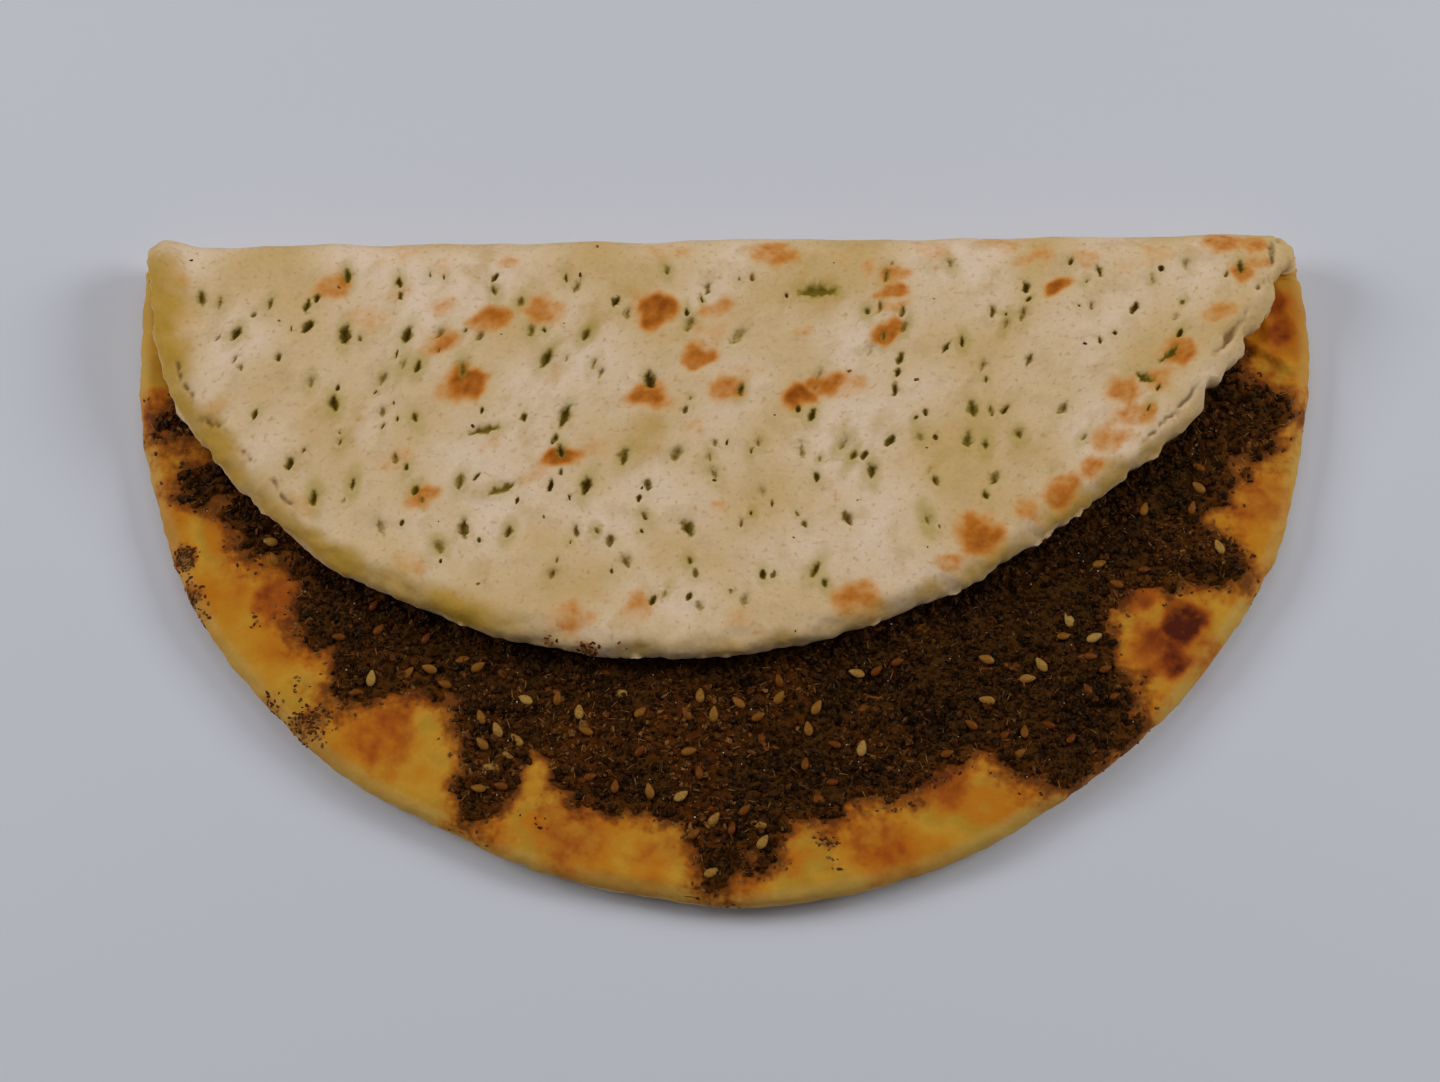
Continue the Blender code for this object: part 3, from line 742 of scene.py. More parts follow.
prick, halo = [], []
for u, v, _ in dough_places:
    away, mark = nearest_mark(u, v)
    darkness, oiliness = mark_looks[mark]
    prick.append(darkness * (1 - smooth(*PRICK_FADE, away)))
    near = 1 - smooth(0, HALO_REACH, (away - 1) * mark[2])
    halo.append((HALO_LEAST + (1 - HALO_LEAST) * oiliness) * near)
inner = at_places(dough_places, lambda u, v: smooth(4 * MM, 12 * MM, from_rim(u, v)))
# Oil, and the painted shade along the top of the fold
oil = spread(dough_places, OIL_AND_FOLD_SHADE_ZONES, warp) * (1 - (1 - FACE_OIL) * inner)
oil = np.maximum(oil, at_places(dough_places, wall_oil)) * is_crust * on_flap
# The flap's torn edge shows the pale crumb right round
torn_edge = at_places(
    dough_places, lambda u, v: past_bend(u, v) > -20 * MM and from_rim(u, v) < 4 * MM)
edge_pale = at_places(dough_places, lambda u, v: 1 - smooth(0.5 * MM, 4.5 * MM, from_rim(u, v)))
stored = {
    "toast": toast,
    "oil": oil,
    "halo": np.array(halo) * is_crust * on_flap,
    "prick": np.array(prick) * is_crust,
    # How far each point is in a split, for the painted shade there
    "crevice": at_places(dough_places, lambda u, v: split(u, v)[0]) * is_crust,
    "edge_pale": edge_pale,
    "crust": is_crust | torn_edge,
}


def store(mesh, name, values):
    """Keeps one number for each point of a mesh, for a finish or a scatter to read."""
    attribute = mesh.attributes.new(name, "FLOAT", "POINT")
    attribute.data.foreach_set("value", np.asarray(values, dtype=np.float32))


for name, values in stored.items():
    store(dough.data, name, values)
print("stored", list(stored))

# %% [markdown]
# ## The zaatar's outline
#
# The baker's fingers pressed the paste out from the middle, so its edge has tongues that run
# nearly to the rim and bays between them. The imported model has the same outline. Here small
# noise is added to it, because loose herbs don't end in a clean line.

# %% The zaatar's outline
TOPPING_RADIUS, TOPPING_THICKNESS, TOPPING_CLEAR_OF_RIM = 109 * MM, 1.0 * MM, 1.2 * MM
# Direction, reach beyond the round in mm (a bay is below 0), and half width in degrees
TONGUES = (
    (191.2, 13.0, 2.9), (198.0, 11.0, 2.6), (205.0, 2.5, 4.0), (213.0, -4.0, 2.6),
    (219.0, 3.0, 3.0), (226.4, 6.5, 2.8), (235.0, -6.5, 4.8), (244.8, 11.5, 2.6),
    (249.3, -5.0, 1.6), (269.4, 15.0, 2.6), (274.4, 9.5, 2.2), (280.8, 4.0, 2.0),
    (309.0, 15.5, 8.3), (322.3, -4.5, 3.6), (332.6, 13.0, 2.9), (341.0, 4.0, 3.6),
    (349.5, 12.0, 4.2),
)
# Unevenness of the edge: how far it wanders and over what length in mm, and its noise layer
EDGE_WANDERS = ((3.4, 11, 21.0), (3.0, 4.5, 22.0), (1.8, 1.9, 23.0))
# So many points lie on the outline that the distance to it counts in every direction
OUTLINE_POINTS = 3000


def topping_outline(angle):
    """Radius of the zaatar in a direction given in radians."""
    radius = TOPPING_RADIUS
    for direction, reach, half_width in TONGUES:
        radius += reach * MM * math.exp(-((degrees_off(angle, direction) / half_width) ** 4))
    return min(radius, bread_outline(angle) - TOPPING_CLEAR_OF_RIM)


def from_topping(u, v):
    """Distance of a flat point from the zaatar's outline, inwards."""
    return topping_outline(math.atan2(v, u)) - math.hypot(u, v)


edge_points = kdtree.KDTree(OUTLINE_POINTS)
for number in range(OUTLINE_POINTS):
    angle = 2 * math.pi * number / OUTLINE_POINTS - math.pi
    radius = topping_outline(angle)
    edge_points.insert((radius * math.cos(angle), radius * math.sin(angle), 0), number)
edge_points.balance()


def cover(u, v):
    """How far a flat point is inside the zaatar's uneven edge, below 0 outside it."""
    away = edge_points.find((u, v, 0))[2]
    if from_topping(u, v) < 0:
        away = -away
    return away + sum(far * MM * ripple(u, v, length * MM, layer)
                      for far, length, layer in EDGE_WANDERS)


print("zaatar reaches in mm", [round(topping_outline(math.radians(a)) / MM) for a in (200, 240)])

# %% Stains and small heaps beside the zaatar
# Small heaps of stray herbs on the rim: u and v and radius in mm, and strength
STRAY_HEAPS = (
    (-112, -52, 3.2, 1.2), (-110, -60, 3.2, 0.9), (-108, -65, 3.0, 0.6), (-84, -88, 5.0, 0.9),
    (-87, -80, 3, 0.4), (-37, -109, 2, 0.3), (104, -50, 3, 0.3), (-92, -85, 3.5, 0.6),
    (21, -113, 2.5, 0.9), (22, -118, 1.8, 0.5), (40, -103, 3, 0.3), (-96, -66, 2.5, 0.5),
)
# Heaps on the flap's edge
CRUST_HEAPS = (
    (-26, 121, 2.2, 0.8), (-19, 123, 2.5, 1.2), (-13, 124, 2, 0.5),
)
# How far the topping's stain reaches, how fast it fades, and how strongly heaps stain
STAIN_REACH, STAIN_CONTRAST, CRUST_STAIN, RIM_STAIN = 7.0 * MM, 1.4, 0.6, 0.8
dough_cover = at_places(dough_places, cover)
heaps, crust_heaps = (spread(dough_places, spots, 0.5 * warp) for spots in (STRAY_HEAPS, CRUST_HEAPS))
soaked = np.clip(1 + dough_cover / STAIN_REACH, 0, 1) ** STAIN_CONTRAST
stain = np.where(is_crust, CRUST_STAIN * crust_heaps, np.maximum(soaked, RIM_STAIN * heaps))
store(dough.data, "stain", stain)
print("heaps", len(STRAY_HEAPS) + len(CRUST_HEAPS))

# %% [markdown]
# ## The dough's finish
#
# Flatbread is low-moisture baked starch: matt, slightly translucent and pale where the oven
# floor didn't scorch it, golden where sugars browned, and darker where oil wets it. The crust
# side starts from cream with slow drifts to straw. The upper side starts from ochre, because
# the rim was brushed with oil and faced the top heat. Each stored number then mixes its own
# colour in. A number alone would fade evenly, so most are broken up by noise first. The finest
# noise is 0.9 mm, about a coarse flour bubble.

# %% Finish: baked wheat crust
def new_finish(name):
    """A material, its node tree and its shader."""
    finish = bpy.data.materials.new(name)
    finish.use_nodes = True
    return finish, finish.node_tree, finish.node_tree.nodes["Principled BSDF"]


# Dry flour scatters light, so the crust looks matt and soft, and the oiled rim a little deeper
crust_finish, tree, shader = new_finish("baked_wheat_crust")
place = add_node(tree, "ShaderNodeAttribute", {}, "Vector", attribute_name="flat_place")
read = {name: add_node(tree, "ShaderNodeAttribute", {}, "Fac", attribute_name=name)
        for name in (*stored, "stain")}
# Size in mm of each pattern in the crust, and how many finer layers it carries
CRUST_PATTERNS = {
    "drift": (24, 3), "patch": (17, 3), "mottle": (6, 7), "fleck": (2.6, 5), "ragged": (1.3, 3),
    "grain": (0.9, 6),
}
for name, (size, detail) in CRUST_PATTERNS.items():
    read[name] = add_node(tree, "ShaderNodeTexNoise", {
        "Vector": place, "Scale": 1 / (size * MM), "Detail": detail,
    }, "Fac")
print("crust patterns", list(CRUST_PATTERNS))

# %% Levels that combine a stored number with a pattern
# Name: stored number, patterns added to it and how strongly, from -1 to 1
BROKEN_LEVELS = {
    "toasted": ("toast", "fleck", "mottle", 0.55),
    "oiled": ("oil", "mottle", "patch", 0.80),
    "stained": ("stain", "fleck", "ragged", 0.60),
    "pricked": ("prick", "ragged", "fleck", 0.50),
}
for name, (number, first, second, strength) in BROKEN_LEVELS.items():
    level = -1.0
    for pattern in (first, second):
        level = add_node(tree, "ShaderNodeMath", {0: read[pattern], 1: level}, "Value",
                         operation="ADD")
    read[name] = add_node(tree, "ShaderNodeMath", {0: level, 1: strength, 2: read[number]}, "Value",
                          operation="MULTIPLY_ADD")
# The rim's thin edge is paler, but not everywhere
read["edge"] = add_node(tree, "ShaderNodeMath", {0: read["edge_pale"], 1: read["patch"]}, "Value",
                        operation="MULTIPLY")
print("broken levels", list(BROKEN_LEVELS))

# %% Colours of the crust
# Name: what it follows, and sRGB hex colours at levels of it
CRUST_RAMPS = {
    "cream": ("drift", ((0.34, "DCB87C"), (0.47, "E7C89B"), (0.60, "F2D7B8"))),
    "ochre": ("patch", ((0.36, "C2720E"), (0.45, "CC861A"), (0.54, "D0982C"), (0.60, "BE902A"),
                        (0.68, "C87A12"))),
    "flap toast": ("toasted", ((0.12, "EABA80"), (0.40, "E4A45A"), (0.62, "DA8E38"),
                               (0.80, "C87622"), (1.0, "9C500E"))),
    "rim toast": ("toasted", ((0.12, "D08A20"), (0.40, "C46C10"), (0.66, "AA4E0A"), (1.0, "561A02"))),
    "stain": ("stained", ((0.1, "C8720E"), (0.5, "B25C08"), (0.85, "8A4406"), (1.0, "6A3206"))),
    "mark": ("mottle", ((0.40, "66480C"), (0.60, "786416"))),
}
colours = {
    name: add_node(tree, "ShaderNodeValToRGB", {"Fac": read[follows]}, "Color", stops=stops)
    for name, (follows, stops) in CRUST_RAMPS.items()
}
# Each layer: the colour it goes on, what it follows, the levels where it starts and is full, how
# much it covers there, and its own colour
CRUST_LAYERS = (
    ("cream", "mottle", 0.44, 0.70, 0.50, "CFAC70"),
    ("cream", "ragged", 0.56, 0.72, 0.45, "BF9C66"),
    ("ochre", "edge", 0.10, 0.60, 0.55, "D6AC58"),
    ("ochre", "crust", 0.0, 1.0, 1.0, "cream"),
    ("rim toast", "crust", 0.0, 1.0, 1.0, "flap toast"),
    ("ochre", "edge_pale", 0.1, 0.9, 0.3, "CCA454"),
    # The oil colour, which along the top of the fold is painted shade
    ("ochre", "oiled", 0.0, 1.0, 0.92, "C4982F"),
    ("ochre", "halo", 0.0, 1.0, 0.55, "B49C3A"),
    ("ochre", "toasted", 0.05, 0.85, 1.0, "rim toast"),
    ("ochre", "stained", 0.05, 0.9, 0.92, "stain"),
    # Painted shade in the splits beside the flap's rim
    ("ochre", "crevice", 0.0, 1.0, 0.85, "7C5828"),
    ("ochre", "pricked", 0.20, 0.55, 0.75, "A48A34"),
    ("ochre", "pricked", 0.42, 0.80, 0.95, "mark"),
)
for under, follows, starts, full, covers, over in CRUST_LAYERS:
    share = add_node(tree, "ShaderNodeMapRange", {
        "Value": read[follows], "From Min": starts, "From Max": full, "To Max": covers,
    }, "Result", interpolation_type="SMOOTHSTEP")
    layer = colours[over] if over in colours else from_hex(over)
    colours[under] = add_node(tree, "ShaderNodeMix", {
        "Factor": share, MIX_A: colours[under], MIX_B: layer,
    }, MIX_RESULT, data_type="RGBA")
print("colour layers", len(CRUST_LAYERS))

# %% Speckle, gloss and fine relief of the crust
speckle = add_node(tree, "ShaderNodeMapRange", {
    "Value": read["grain"], "From Min": 0.3, "From Max": 0.7, "To Min": 0.965, "To Max": 1.03,
}, "Result")
speckled = add_node(tree, "ShaderNodeMix", {
    "Factor": 1.0, MIX_A: colours["ochre"], MIX_B: speckle,
}, MIX_RESULT, data_type="RGBA", blend_type="MULTIPLY")
# The floury crust is duller than the oiled rim
gloss = add_node(tree, "ShaderNodeMapRange", {
    "Value": read["crust"], "To Min": 0.55, "To Max": 0.75,
}, "Result")
wrinkles = add_node(tree, "ShaderNodeBump", {
    "Height": read["mottle"], "Strength": 0.7, "Distance": 0.6 * MM,
}, "Normal")
pores = add_node(tree, "ShaderNodeBump", {
    "Height": read["grain"], "Strength": 0.4, "Distance": 0.2 * MM, "Normal": wrinkles,
}, "Normal")
# Light spreads a little under the crust, red the furthest
LIGHT_SPREADS = 1.5 * MM
fill(tree, shader, {
    "Base Color": speckled, "Roughness": gloss, "Normal": pores, "Specular IOR Level": 0.1,
    "Subsurface Weight": 0.08, "Subsurface Radius": (1.0, 0.55, 0.25),
    "Subsurface Scale": LIGHT_SPREADS,
})
dough.data.materials.append(crust_finish)
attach(dough, "root")
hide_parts("flatbread")
print("finish", crust_finish.name, len(tree.nodes), "nodes")

# %% [markdown]
# ## The zaatar paste
#
# The bound part of the topping is a thin closed layer on the dough's upper face. It follows the
# dough through the fold. In the open its top is broken into lumps of about 1 and 3 mm, by
# distances to scattered points, because plain noise would look like waves. It thins to nothing
# at the ragged edge.

# %% Height of the paste
# Height and width of the clumps and the crumbs, and of the slow swell under them
CLUMP, CLUMP_SIZE = 0.95 * MM, 2.6 * MM
CRUMB, CRUMB_SIZE = 0.45 * MM, 1.25 * MM
PASTE_SWELL, PASTE_SWELL_LENGTH = 0.45 * MM, 8 * MM
# Past the edge of its cover, the sheet dips below the dough's face and is out of sight. Its
# floor and its brim lie in the dough
HIDDEN_DIP, PASTE_FLOOR, PASTE_BRIM = 0.55 * MM, 1.2 * MM, 0.4 * MM


def lumps(u, v, size):
    """Rounded lumps of about a size, 0 at their tops and below 0 in the gaps between them."""
    distances, _ = noise.voronoi(Vector((u / size, v / size, 0.5)))
    return -min(1.0, distances[0] * distances[0] * 2.2)


def paste_top(u, v):
    """Height of the paste's crumbly top."""
    share = smooth(-0.6 * MM, 2.0 * MM, cover(u, v))
    crumbs = CLUMP * lumps(u, v, CLUMP_SIZE) + CRUMB * lumps(u, v, CRUMB_SIZE) + 0.45 * CLUMP
    crumbs += PASTE_SWELL * ripple(u, v, PASTE_SWELL_LENGTH, 2.0)
    in_the_open = smooth(0, 8 * MM, bend_start(u) - v)
    base = upper_height(u, v) + crust_relief(u, v, upper_height(u, v)) * in_the_open
    full = TOPPING_THICKNESS + crumbs * in_the_open
    return base - HIDDEN_DIP + share * (full + HIDDEN_DIP)


def paste_reach(angle):
    """Radius of the sheet that carries the paste, a little wider than the paste itself."""
    widest = max(topping_outline(angle + math.radians(turn)) for turn in (-1.6, -0.8, 0, 0.8, 1.6))
    return min(widest + 2.5 * MM, bread_outline(angle) - 0.8 * MM)


print("paste height at 60 mm in mm", round(paste_top(0, -60 * MM) / MM, 1))

# %% Make the paste
PASTE_OUTLINE_STEP, PASTE_RING = 0.8 * MM, 0.7 * MM
PASTE_STEP, PASTE_MIDDLE_STEP, PASTE_HIDDEN_STEP = 0.55 * MM, 2.5 * MM, 5.0 * MM


def paste_shows(u, v):
    return is_open(u, v, -6 * MM)


def paste_inside(u, v):
    return paste_reach(math.atan2(v, u)) - math.hypot(u, v) > 2 * PASTE_RING


def well_inside(u, v):
    return from_topping(u, v) > 6 * MM


def in_bend(u, v):
    return -2 * MM <= v - bend_start(u) <= math.pi * BEND_RADIUS + 2 * MM


paste_outline = [(angle, paste_reach(angle))
                 for angle in directions(PASTE_OUTLINE_STEP / TOPPING_RADIUS)]
top_points = lattice(PASTE_STEP, lambda u, v: paste_shows(u, v) and paste_inside(u, v))
top_points += lattice(PASTE_MIDDLE_STEP, lambda u, v: not paste_shows(u, v)
                      and paste_inside(u, v) and from_topping(u, v) > 2 * MM)
floor_points = lattice(PASTE_HIDDEN_STEP, lambda u, v: well_inside(u, v) and not in_bend(u, v))
floor_points += lattice(PASTE_MIDDLE_STEP, lambda u, v: well_inside(u, v) and in_bend(u, v))
paste, paste_places = closed_sheet(
    "zaatar_paste", paste_outline, lambda u, v: upper_height(u, v) - PASTE_BRIM, (
        ([PASTE_RING], top_points, paste_top, True),
        ([PASTE_RING], floor_points, lambda u, v: upper_height(u, v) - PASTE_FLOOR, False),
    ))
print("paste triangles", len(paste.data.polygons))

# %% Where the paste shows, thins and reddens
# Where more sumac and oil make the paste redder: u and v and radius in mm, and strength
RUDDY_ZONES = (
    (-30, -92, 14, 0.8), (-8, -90, 14, 0.9), (12, -84, 12, 0.6), (-48, -84, 10, 0.5),
    (30, -92, 9, 0.5), (-90, -50, 8, 0.5), (-70, -74, 8, 0.5), (-4, -108, 9, 0.8),
    (-46, -100, 8, 0.8), (95, -48, 8, 0.6), (104, -24, 8, 0.4), (60, -92, 8, 0.3),
)
# How much the redness counts, how red thin paste is, and what is taken off where it isn't red
RUDDY_SHARE, RUDDY_WHERE_THIN, RUDDY_FROM = 0.3, 0.7, 0.07
is_top = paste_places[:, 2] > at_places(paste_places, upper_height)
paste_cover = at_places(paste_places, cover)
shown = at_places(paste_places, lambda u, v: float(is_open(u, v, -1.5 * MM))) * is_top
shown *= np.clip(0.5 + paste_cover / (2.0 * MM), 0, 1)
thin = np.clip(1 - paste_cover / (5.0 * MM), 0, 1)
ruddy = spread(paste_places, RUDDY_ZONES, warp_of(paste_places, 9 * MM, 5 * MM))
store(paste.data, "shown", shown)
store(paste.data, "thin", thin)
ruddy = np.maximum(ruddy, RUDDY_WHERE_THIN * thin)
store(paste.data, "ruddy", RUDDY_SHARE * ruddy - RUDDY_FROM)
print("share of the paste that shows", round(float(shown.mean()), 2))

# %% [markdown]
# ## The zaatar's finish
#
# Ground dried thyme in olive oil bakes to a nearly black brown, with redder sumac. The oil gives
# small soft glints, so the roughness is lower than the dough's, and brown herbs tint what they
# reflect. The loose bits share one kind of finish, which reads how light or dark each bit is.
# One finish for each bit would be the other way, but that would take thousands.

# %% Finish: herb paste in oil
# Oil fills the gaps between the herbs, so they look darker than dry ones and glint softly
paste_finish, tree, shader = new_finish("herb_paste_in_oil")
place = add_node(tree, "ShaderNodeAttribute", {}, "Vector", attribute_name="flat_place")
# Slow changes of tone 11 mm wide, and single herbs 0.8 mm wide
tone, herb = (
    add_node(tree, "ShaderNodeTexNoise", {"Vector": place, "Scale": 1 / (size * MM), "Detail": 4}, "Fac")
    for size in (11, 0.8)
)
level = add_node(tree, "ShaderNodeMath", {0: tone, 1: herb}, "Value", operation="ADD")
browns = add_node(tree, "ShaderNodeValToRGB", {"Fac": level}, "Color", stops=(
    (0.70, "170D04"), (0.90, "2A1706"), (1.0, "482A0A"),
))
# Thin paste lets the oily dough show through, and sumac reddens it
for name, full, over in (("thin", 1.0, "6E3A08"), ("ruddy", 0.2, "602E06")):
    follows = add_node(tree, "ShaderNodeAttribute", {}, "Fac", attribute_name=name)
    share = add_node(tree, "ShaderNodeMapRange", {
        "Value": follows, "From Max": full, "To Max": 0.6,
    }, "Result")
    browns = add_node(tree, "ShaderNodeMix", {
        "Factor": share, MIX_A: browns, MIX_B: from_hex(over),
    }, MIX_RESULT, data_type="RGBA")
bump = add_node(tree, "ShaderNodeBump", {
    "Height": herb, "Strength": 0.9, "Distance": 0.4 * MM,
}, "Normal")
HERB_TINT = from_hex("E8C49C")
fill(tree, shader, {
    "Base Color": browns, "Roughness": 0.5, "Specular IOR Level": 0.1,
    "Specular Tint": HERB_TINT, "Normal": bump,
})
paste.data.materials.append(paste_finish)
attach(paste, "root")
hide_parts("zaatar")
print("finish", paste_finish.name)

# %% Finish: loose herbs, sesame and salt
# Dried leaf is dark and dull with a trace of oil, a toasted seed coat is smoother and shows a
# soft light along its back, and salt is clear crystal that looks like small white points
# Name: colours by shade, roughness, how strongly it reflects and the tint of what it reflects
BIT_FINISHES = {
    "dried_thyme_and_sumac": (
        ((0.0, "170D04"), (0.35, "2C1807"), (0.65, "46260A"), (0.85, "603612"), (1.0, "8E6432")),
        0.45, 0.15, HERB_TINT,
    ),
    "toasted_sesame": (
        ((0.0, "642C08"), (0.40, "7A4610"), (0.80, "926222"), (1.0, "AE8842")),
        0.4, 0.2, from_hex("ECCBA0"),
    ),
    "coarse_salt": (((0.0, "A89880"), (1.0, "E8E0D0")), 0.3, 0.5, from_hex("FFFFFF")),
}
# Each bit is a little uneven in itself
BIT_MOTTLE, BIT_UNEVEN = 0.5 * MM, 0.12
bit_finishes = []
for name, (shades, roughness, reflection, tint) in BIT_FINISHES.items():
    finish, tree, shader = new_finish(name)
    shade = add_node(tree, "ShaderNodeAttribute", {}, "Fac", attribute_name="shade")
    position = add_node(tree, "ShaderNodeTexCoord", {}, "Object")
    mottle = add_node(tree, "ShaderNodeTexNoise", {
        "Vector": position, "Scale": 1 / BIT_MOTTLE, "Detail": 2,
    }, "Fac")
    shift = add_node(tree, "ShaderNodeMapRange", {
        "Value": mottle, "From Min": 0.3, "From Max": 0.7, "To Min": -BIT_UNEVEN, "To Max": BIT_UNEVEN,
    }, "Result")
    level = add_node(tree, "ShaderNodeMath", {0: shade, 1: shift}, "Value", operation="ADD")
    colour = add_node(tree, "ShaderNodeValToRGB", {"Fac": level}, "Color", stops=shades)
    fill(tree, shader, {
        "Base Color": colour, "Roughness": roughness, "Specular IOR Level": reflection,
        "Specular Tint": tint,
    })
    bit_finishes.append(finish)
herb_finish, seed_finish, salt_finish = bit_finishes
print("finishes", [finish.name for finish in bit_finishes])

# %% [markdown]
# ## Scattering loose bits
#
# Thousands of crumbs are one small shape, repeated with its own turn, size and shade. A particle
# system could spread them too, but Geometry Nodes show each step: points are spread on a surface
# where a stored number allows them, a shape is set on each, and the result is made real mesh.
# One tree serves all the loose bits, because only its inputs change from one to the next.

# %% Start and end of a tree
# Sockets 2 and 3 of a random value are its smallest and largest number, and output 1 is the number
RANDOM_LOW, RANDOM_HIGH, RANDOM_NUMBER = 2, 3, 1


def new_tree(name, inputs):
    """A tree with named inputs, each with its kind, and the sockets they come from."""
    tree = bpy.data.node_groups.new(name, "GeometryNodeTree")
    for title, kind in inputs.items():
        tree.interface.new_socket(name=title, in_out="INPUT", socket_type="NodeSocket" + kind)
    tree.interface.new_socket(name="Bits", in_out="OUTPUT", socket_type="NodeSocketGeometry")
    return tree, add_node(tree, "NodeGroupInput", {}).outputs


def set_bits(tree, points, rotation, given):
    """Sets a bit of a random size on each point, makes them real mesh and gives the finish."""
    size = add_node(tree, "FunctionNodeRandomValue", {
        RANDOM_LOW: given["Smallest"], RANDOM_HIGH: given["Largest"], "Seed": given["Seed"],
    }, RANDOM_NUMBER, data_type="FLOAT")
    bit = add_node(tree, "GeometryNodeObjectInfo", {"Object": given["Bit"]}, "Geometry")
    sunk_by = add_node(tree, "ShaderNodeCombineXYZ", {"Z": given["Sink"]}, "Vector")
    sunk = add_node(tree, "GeometryNodeTransform", {"Geometry": bit, "Translation": sunk_by},
                    "Geometry")
    placed = add_node(tree, "GeometryNodeInstanceOnPoints", {
        "Points": points, "Instance": sunk, "Rotation": rotation, "Scale": size,
    }, "Instances")
    real = add_node(tree, "GeometryNodeRealizeInstances", {"Geometry": placed}, "Geometry")
    finished = add_node(tree, "GeometryNodeSetMaterial", {
        "Geometry": real, "Material": given["Finish"],
    }, "Geometry")
    add_node(tree, "NodeGroupOutput", {"Bits": finished})


BIT_INPUTS = {"Bit": "Object", "Smallest": "Float", "Largest": "Float", "Sink": "Float",
              "Seed": "Int", "Finish": "Material"}
print("inputs of every tree", list(BIT_INPUTS))

# %% The scattering tree
scatter, given = new_tree("scatter_bits", {
    "Surface": "Geometry", "Where": "String", "Bits per square metre": "Float", "Tilt": "Float",
    "Darkest": "Float", "Lightest": "Float", **BIT_INPUTS,
})
allowed, ruddy = (
    add_node(scatter, "GeometryNodeInputNamedAttribute", {"Name": name}, "Attribute", data_type="FLOAT")
    for name in (given["Where"], "ruddy")
)
density = add_node(scatter, "ShaderNodeMath", {
    0: allowed, 1: given["Bits per square metre"],
}, "Value", operation="MULTIPLY")
points = add_node(scatter, "GeometryNodeDistributePointsOnFaces", {
    "Mesh": given["Surface"], "Density": density, "Seed": given["Seed"],
})
shade_seed, turn_seed = (
    add_node(scatter, "ShaderNodeMath", {0: given["Seed"], 1: step}, "Value", operation="ADD")
    for step in (1.0, 2.0)
)
shade = add_node(scatter, "FunctionNodeRandomValue", {
    RANDOM_LOW: given["Darkest"], RANDOM_HIGH: given["Lightest"], "Seed": shade_seed,
}, RANDOM_NUMBER, data_type="FLOAT")
lifted = add_node(scatter, "ShaderNodeMath", {0: shade, 1: ruddy}, "Value", operation="ADD")
shaded = add_node(scatter, "GeometryNodeStoreNamedAttribute", {
    "Geometry": points.outputs["Points"], "Name": "shade", "Value": lifted,
}, "Geometry", data_type="FLOAT", domain="POINT")
tilt = given["Tilt"]
tilt_back = add_node(scatter, "ShaderNodeMath", {0: tilt, 1: -1.0}, "Value", operation="MULTIPLY")
low = add_node(scatter, "ShaderNodeCombineXYZ", {"X": tilt_back, "Y": tilt_back}, "Vector")
high = add_node(scatter, "ShaderNodeCombineXYZ", {"X": tilt, "Y": tilt, "Z": 2 * math.pi}, "Vector")
turn = add_node(scatter, "FunctionNodeRandomValue", {0: low, 1: high, "Seed": turn_seed}, 0,
                data_type="FLOAT_VECTOR")
turned = add_node(scatter, "FunctionNodeRotateRotation", {
    "Rotation": points.outputs["Rotation"], "Rotate By": turn,
}, "Rotation", rotation_space="LOCAL")
set_bits(scatter, shaded, turned, given)
print("scatter inputs", [item.name for item in scatter.interface.items_tree])

# %% Run a tree and keep its mesh
pieces = [dough, paste]


def scattered(name, surface, tree, inputs):
    """Runs a tree on a mesh and keeps the result as a plain mesh on the root body."""
    made = add_object(name, surface)
    modifier = made.modifiers.new(name, "NODES")
    modifier.node_group = tree
    for item in tree.interface.items_tree:
        if item.in_out == "INPUT" and item.name in inputs:
            modifier[item.identifier] = inputs[item.name]
    bpy.context.view_layer.update()
    graph = bpy.context.evaluated_depsgraph_get()
    mesh = bpy.data.meshes.new_from_object(made.evaluated_get(graph))
    mesh.name = name
    made.modifiers.clear()
    made.data = mesh
    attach(made, "root")
    pieces.append(made)
    print(name, "triangles", sum(len(polygon.vertices) - 2 for polygon in mesh.polygons))


print("pieces so far", [piece.name for piece in pieces])

# %% [markdown]
# ## Herb crumbs
#
# A dried thyme flake is flat and about a millimetre long, a grain of sumac is rounder. Both
# start from a small sphere of twenty faces whose points are pulled about, which is enough at
# their size. They stand at all angles on the paste, and that is what makes it look crumbly.

# %% Shapes of the bits
# Length, width and depth in mm, unevenness, seed, and how often the sphere is subdivided
BIT_SHAPES = {
    "flake": (1.5, 0.8, 0.4, 0.3, 21, 1), "grain": (1.0, 0.85, 0.7, 0.25, 22, 1),
    "stem": (2.4, 0.3, 0.26, 0.15, 24, 1), "clump": (2.3, 2.0, 1.5, 0.28, 25, 2),
    "salt": (0.55, 0.5, 0.45, 0.15, 23, 1),
}


def keep_shape(name, bm, sides):
    """Scales a shape of length 1 to its sides in mm and makes it an object."""
    bmesh.ops.scale(bm, vec=[side * MM for side in sides], verts=bm.verts)
    bmesh.ops.recalc_face_normals(bm, faces=bm.faces)
    mesh = bpy.data.meshes.new(name + "_shape")
    bm.to_mesh(mesh)
    bm.free()
    return add_object(name + "_shape", mesh)


shapes = {}
for name, (*sides, uneven, seed, subdivisions) in BIT_SHAPES.items():
    draw = random.Random(seed)
    bm = bmesh.new()
    bmesh.ops.create_icosphere(bm, subdivisions=subdivisions, radius=0.5)
    for vertex in bm.verts:
        vertex.co *= 1 + draw.uniform(-uneven, uneven)
    shapes[name] = keep_shape(name, bm, sides)
print("shapes", {name: len(shape.data.polygons) for name, shape in shapes.items()})

# %% Scatter the crumbs
SETTINGS = ("Where", "Bits per square metre", "Smallest", "Largest", "Tilt", "Sink", "Darkest",
            "Lightest", "Seed")
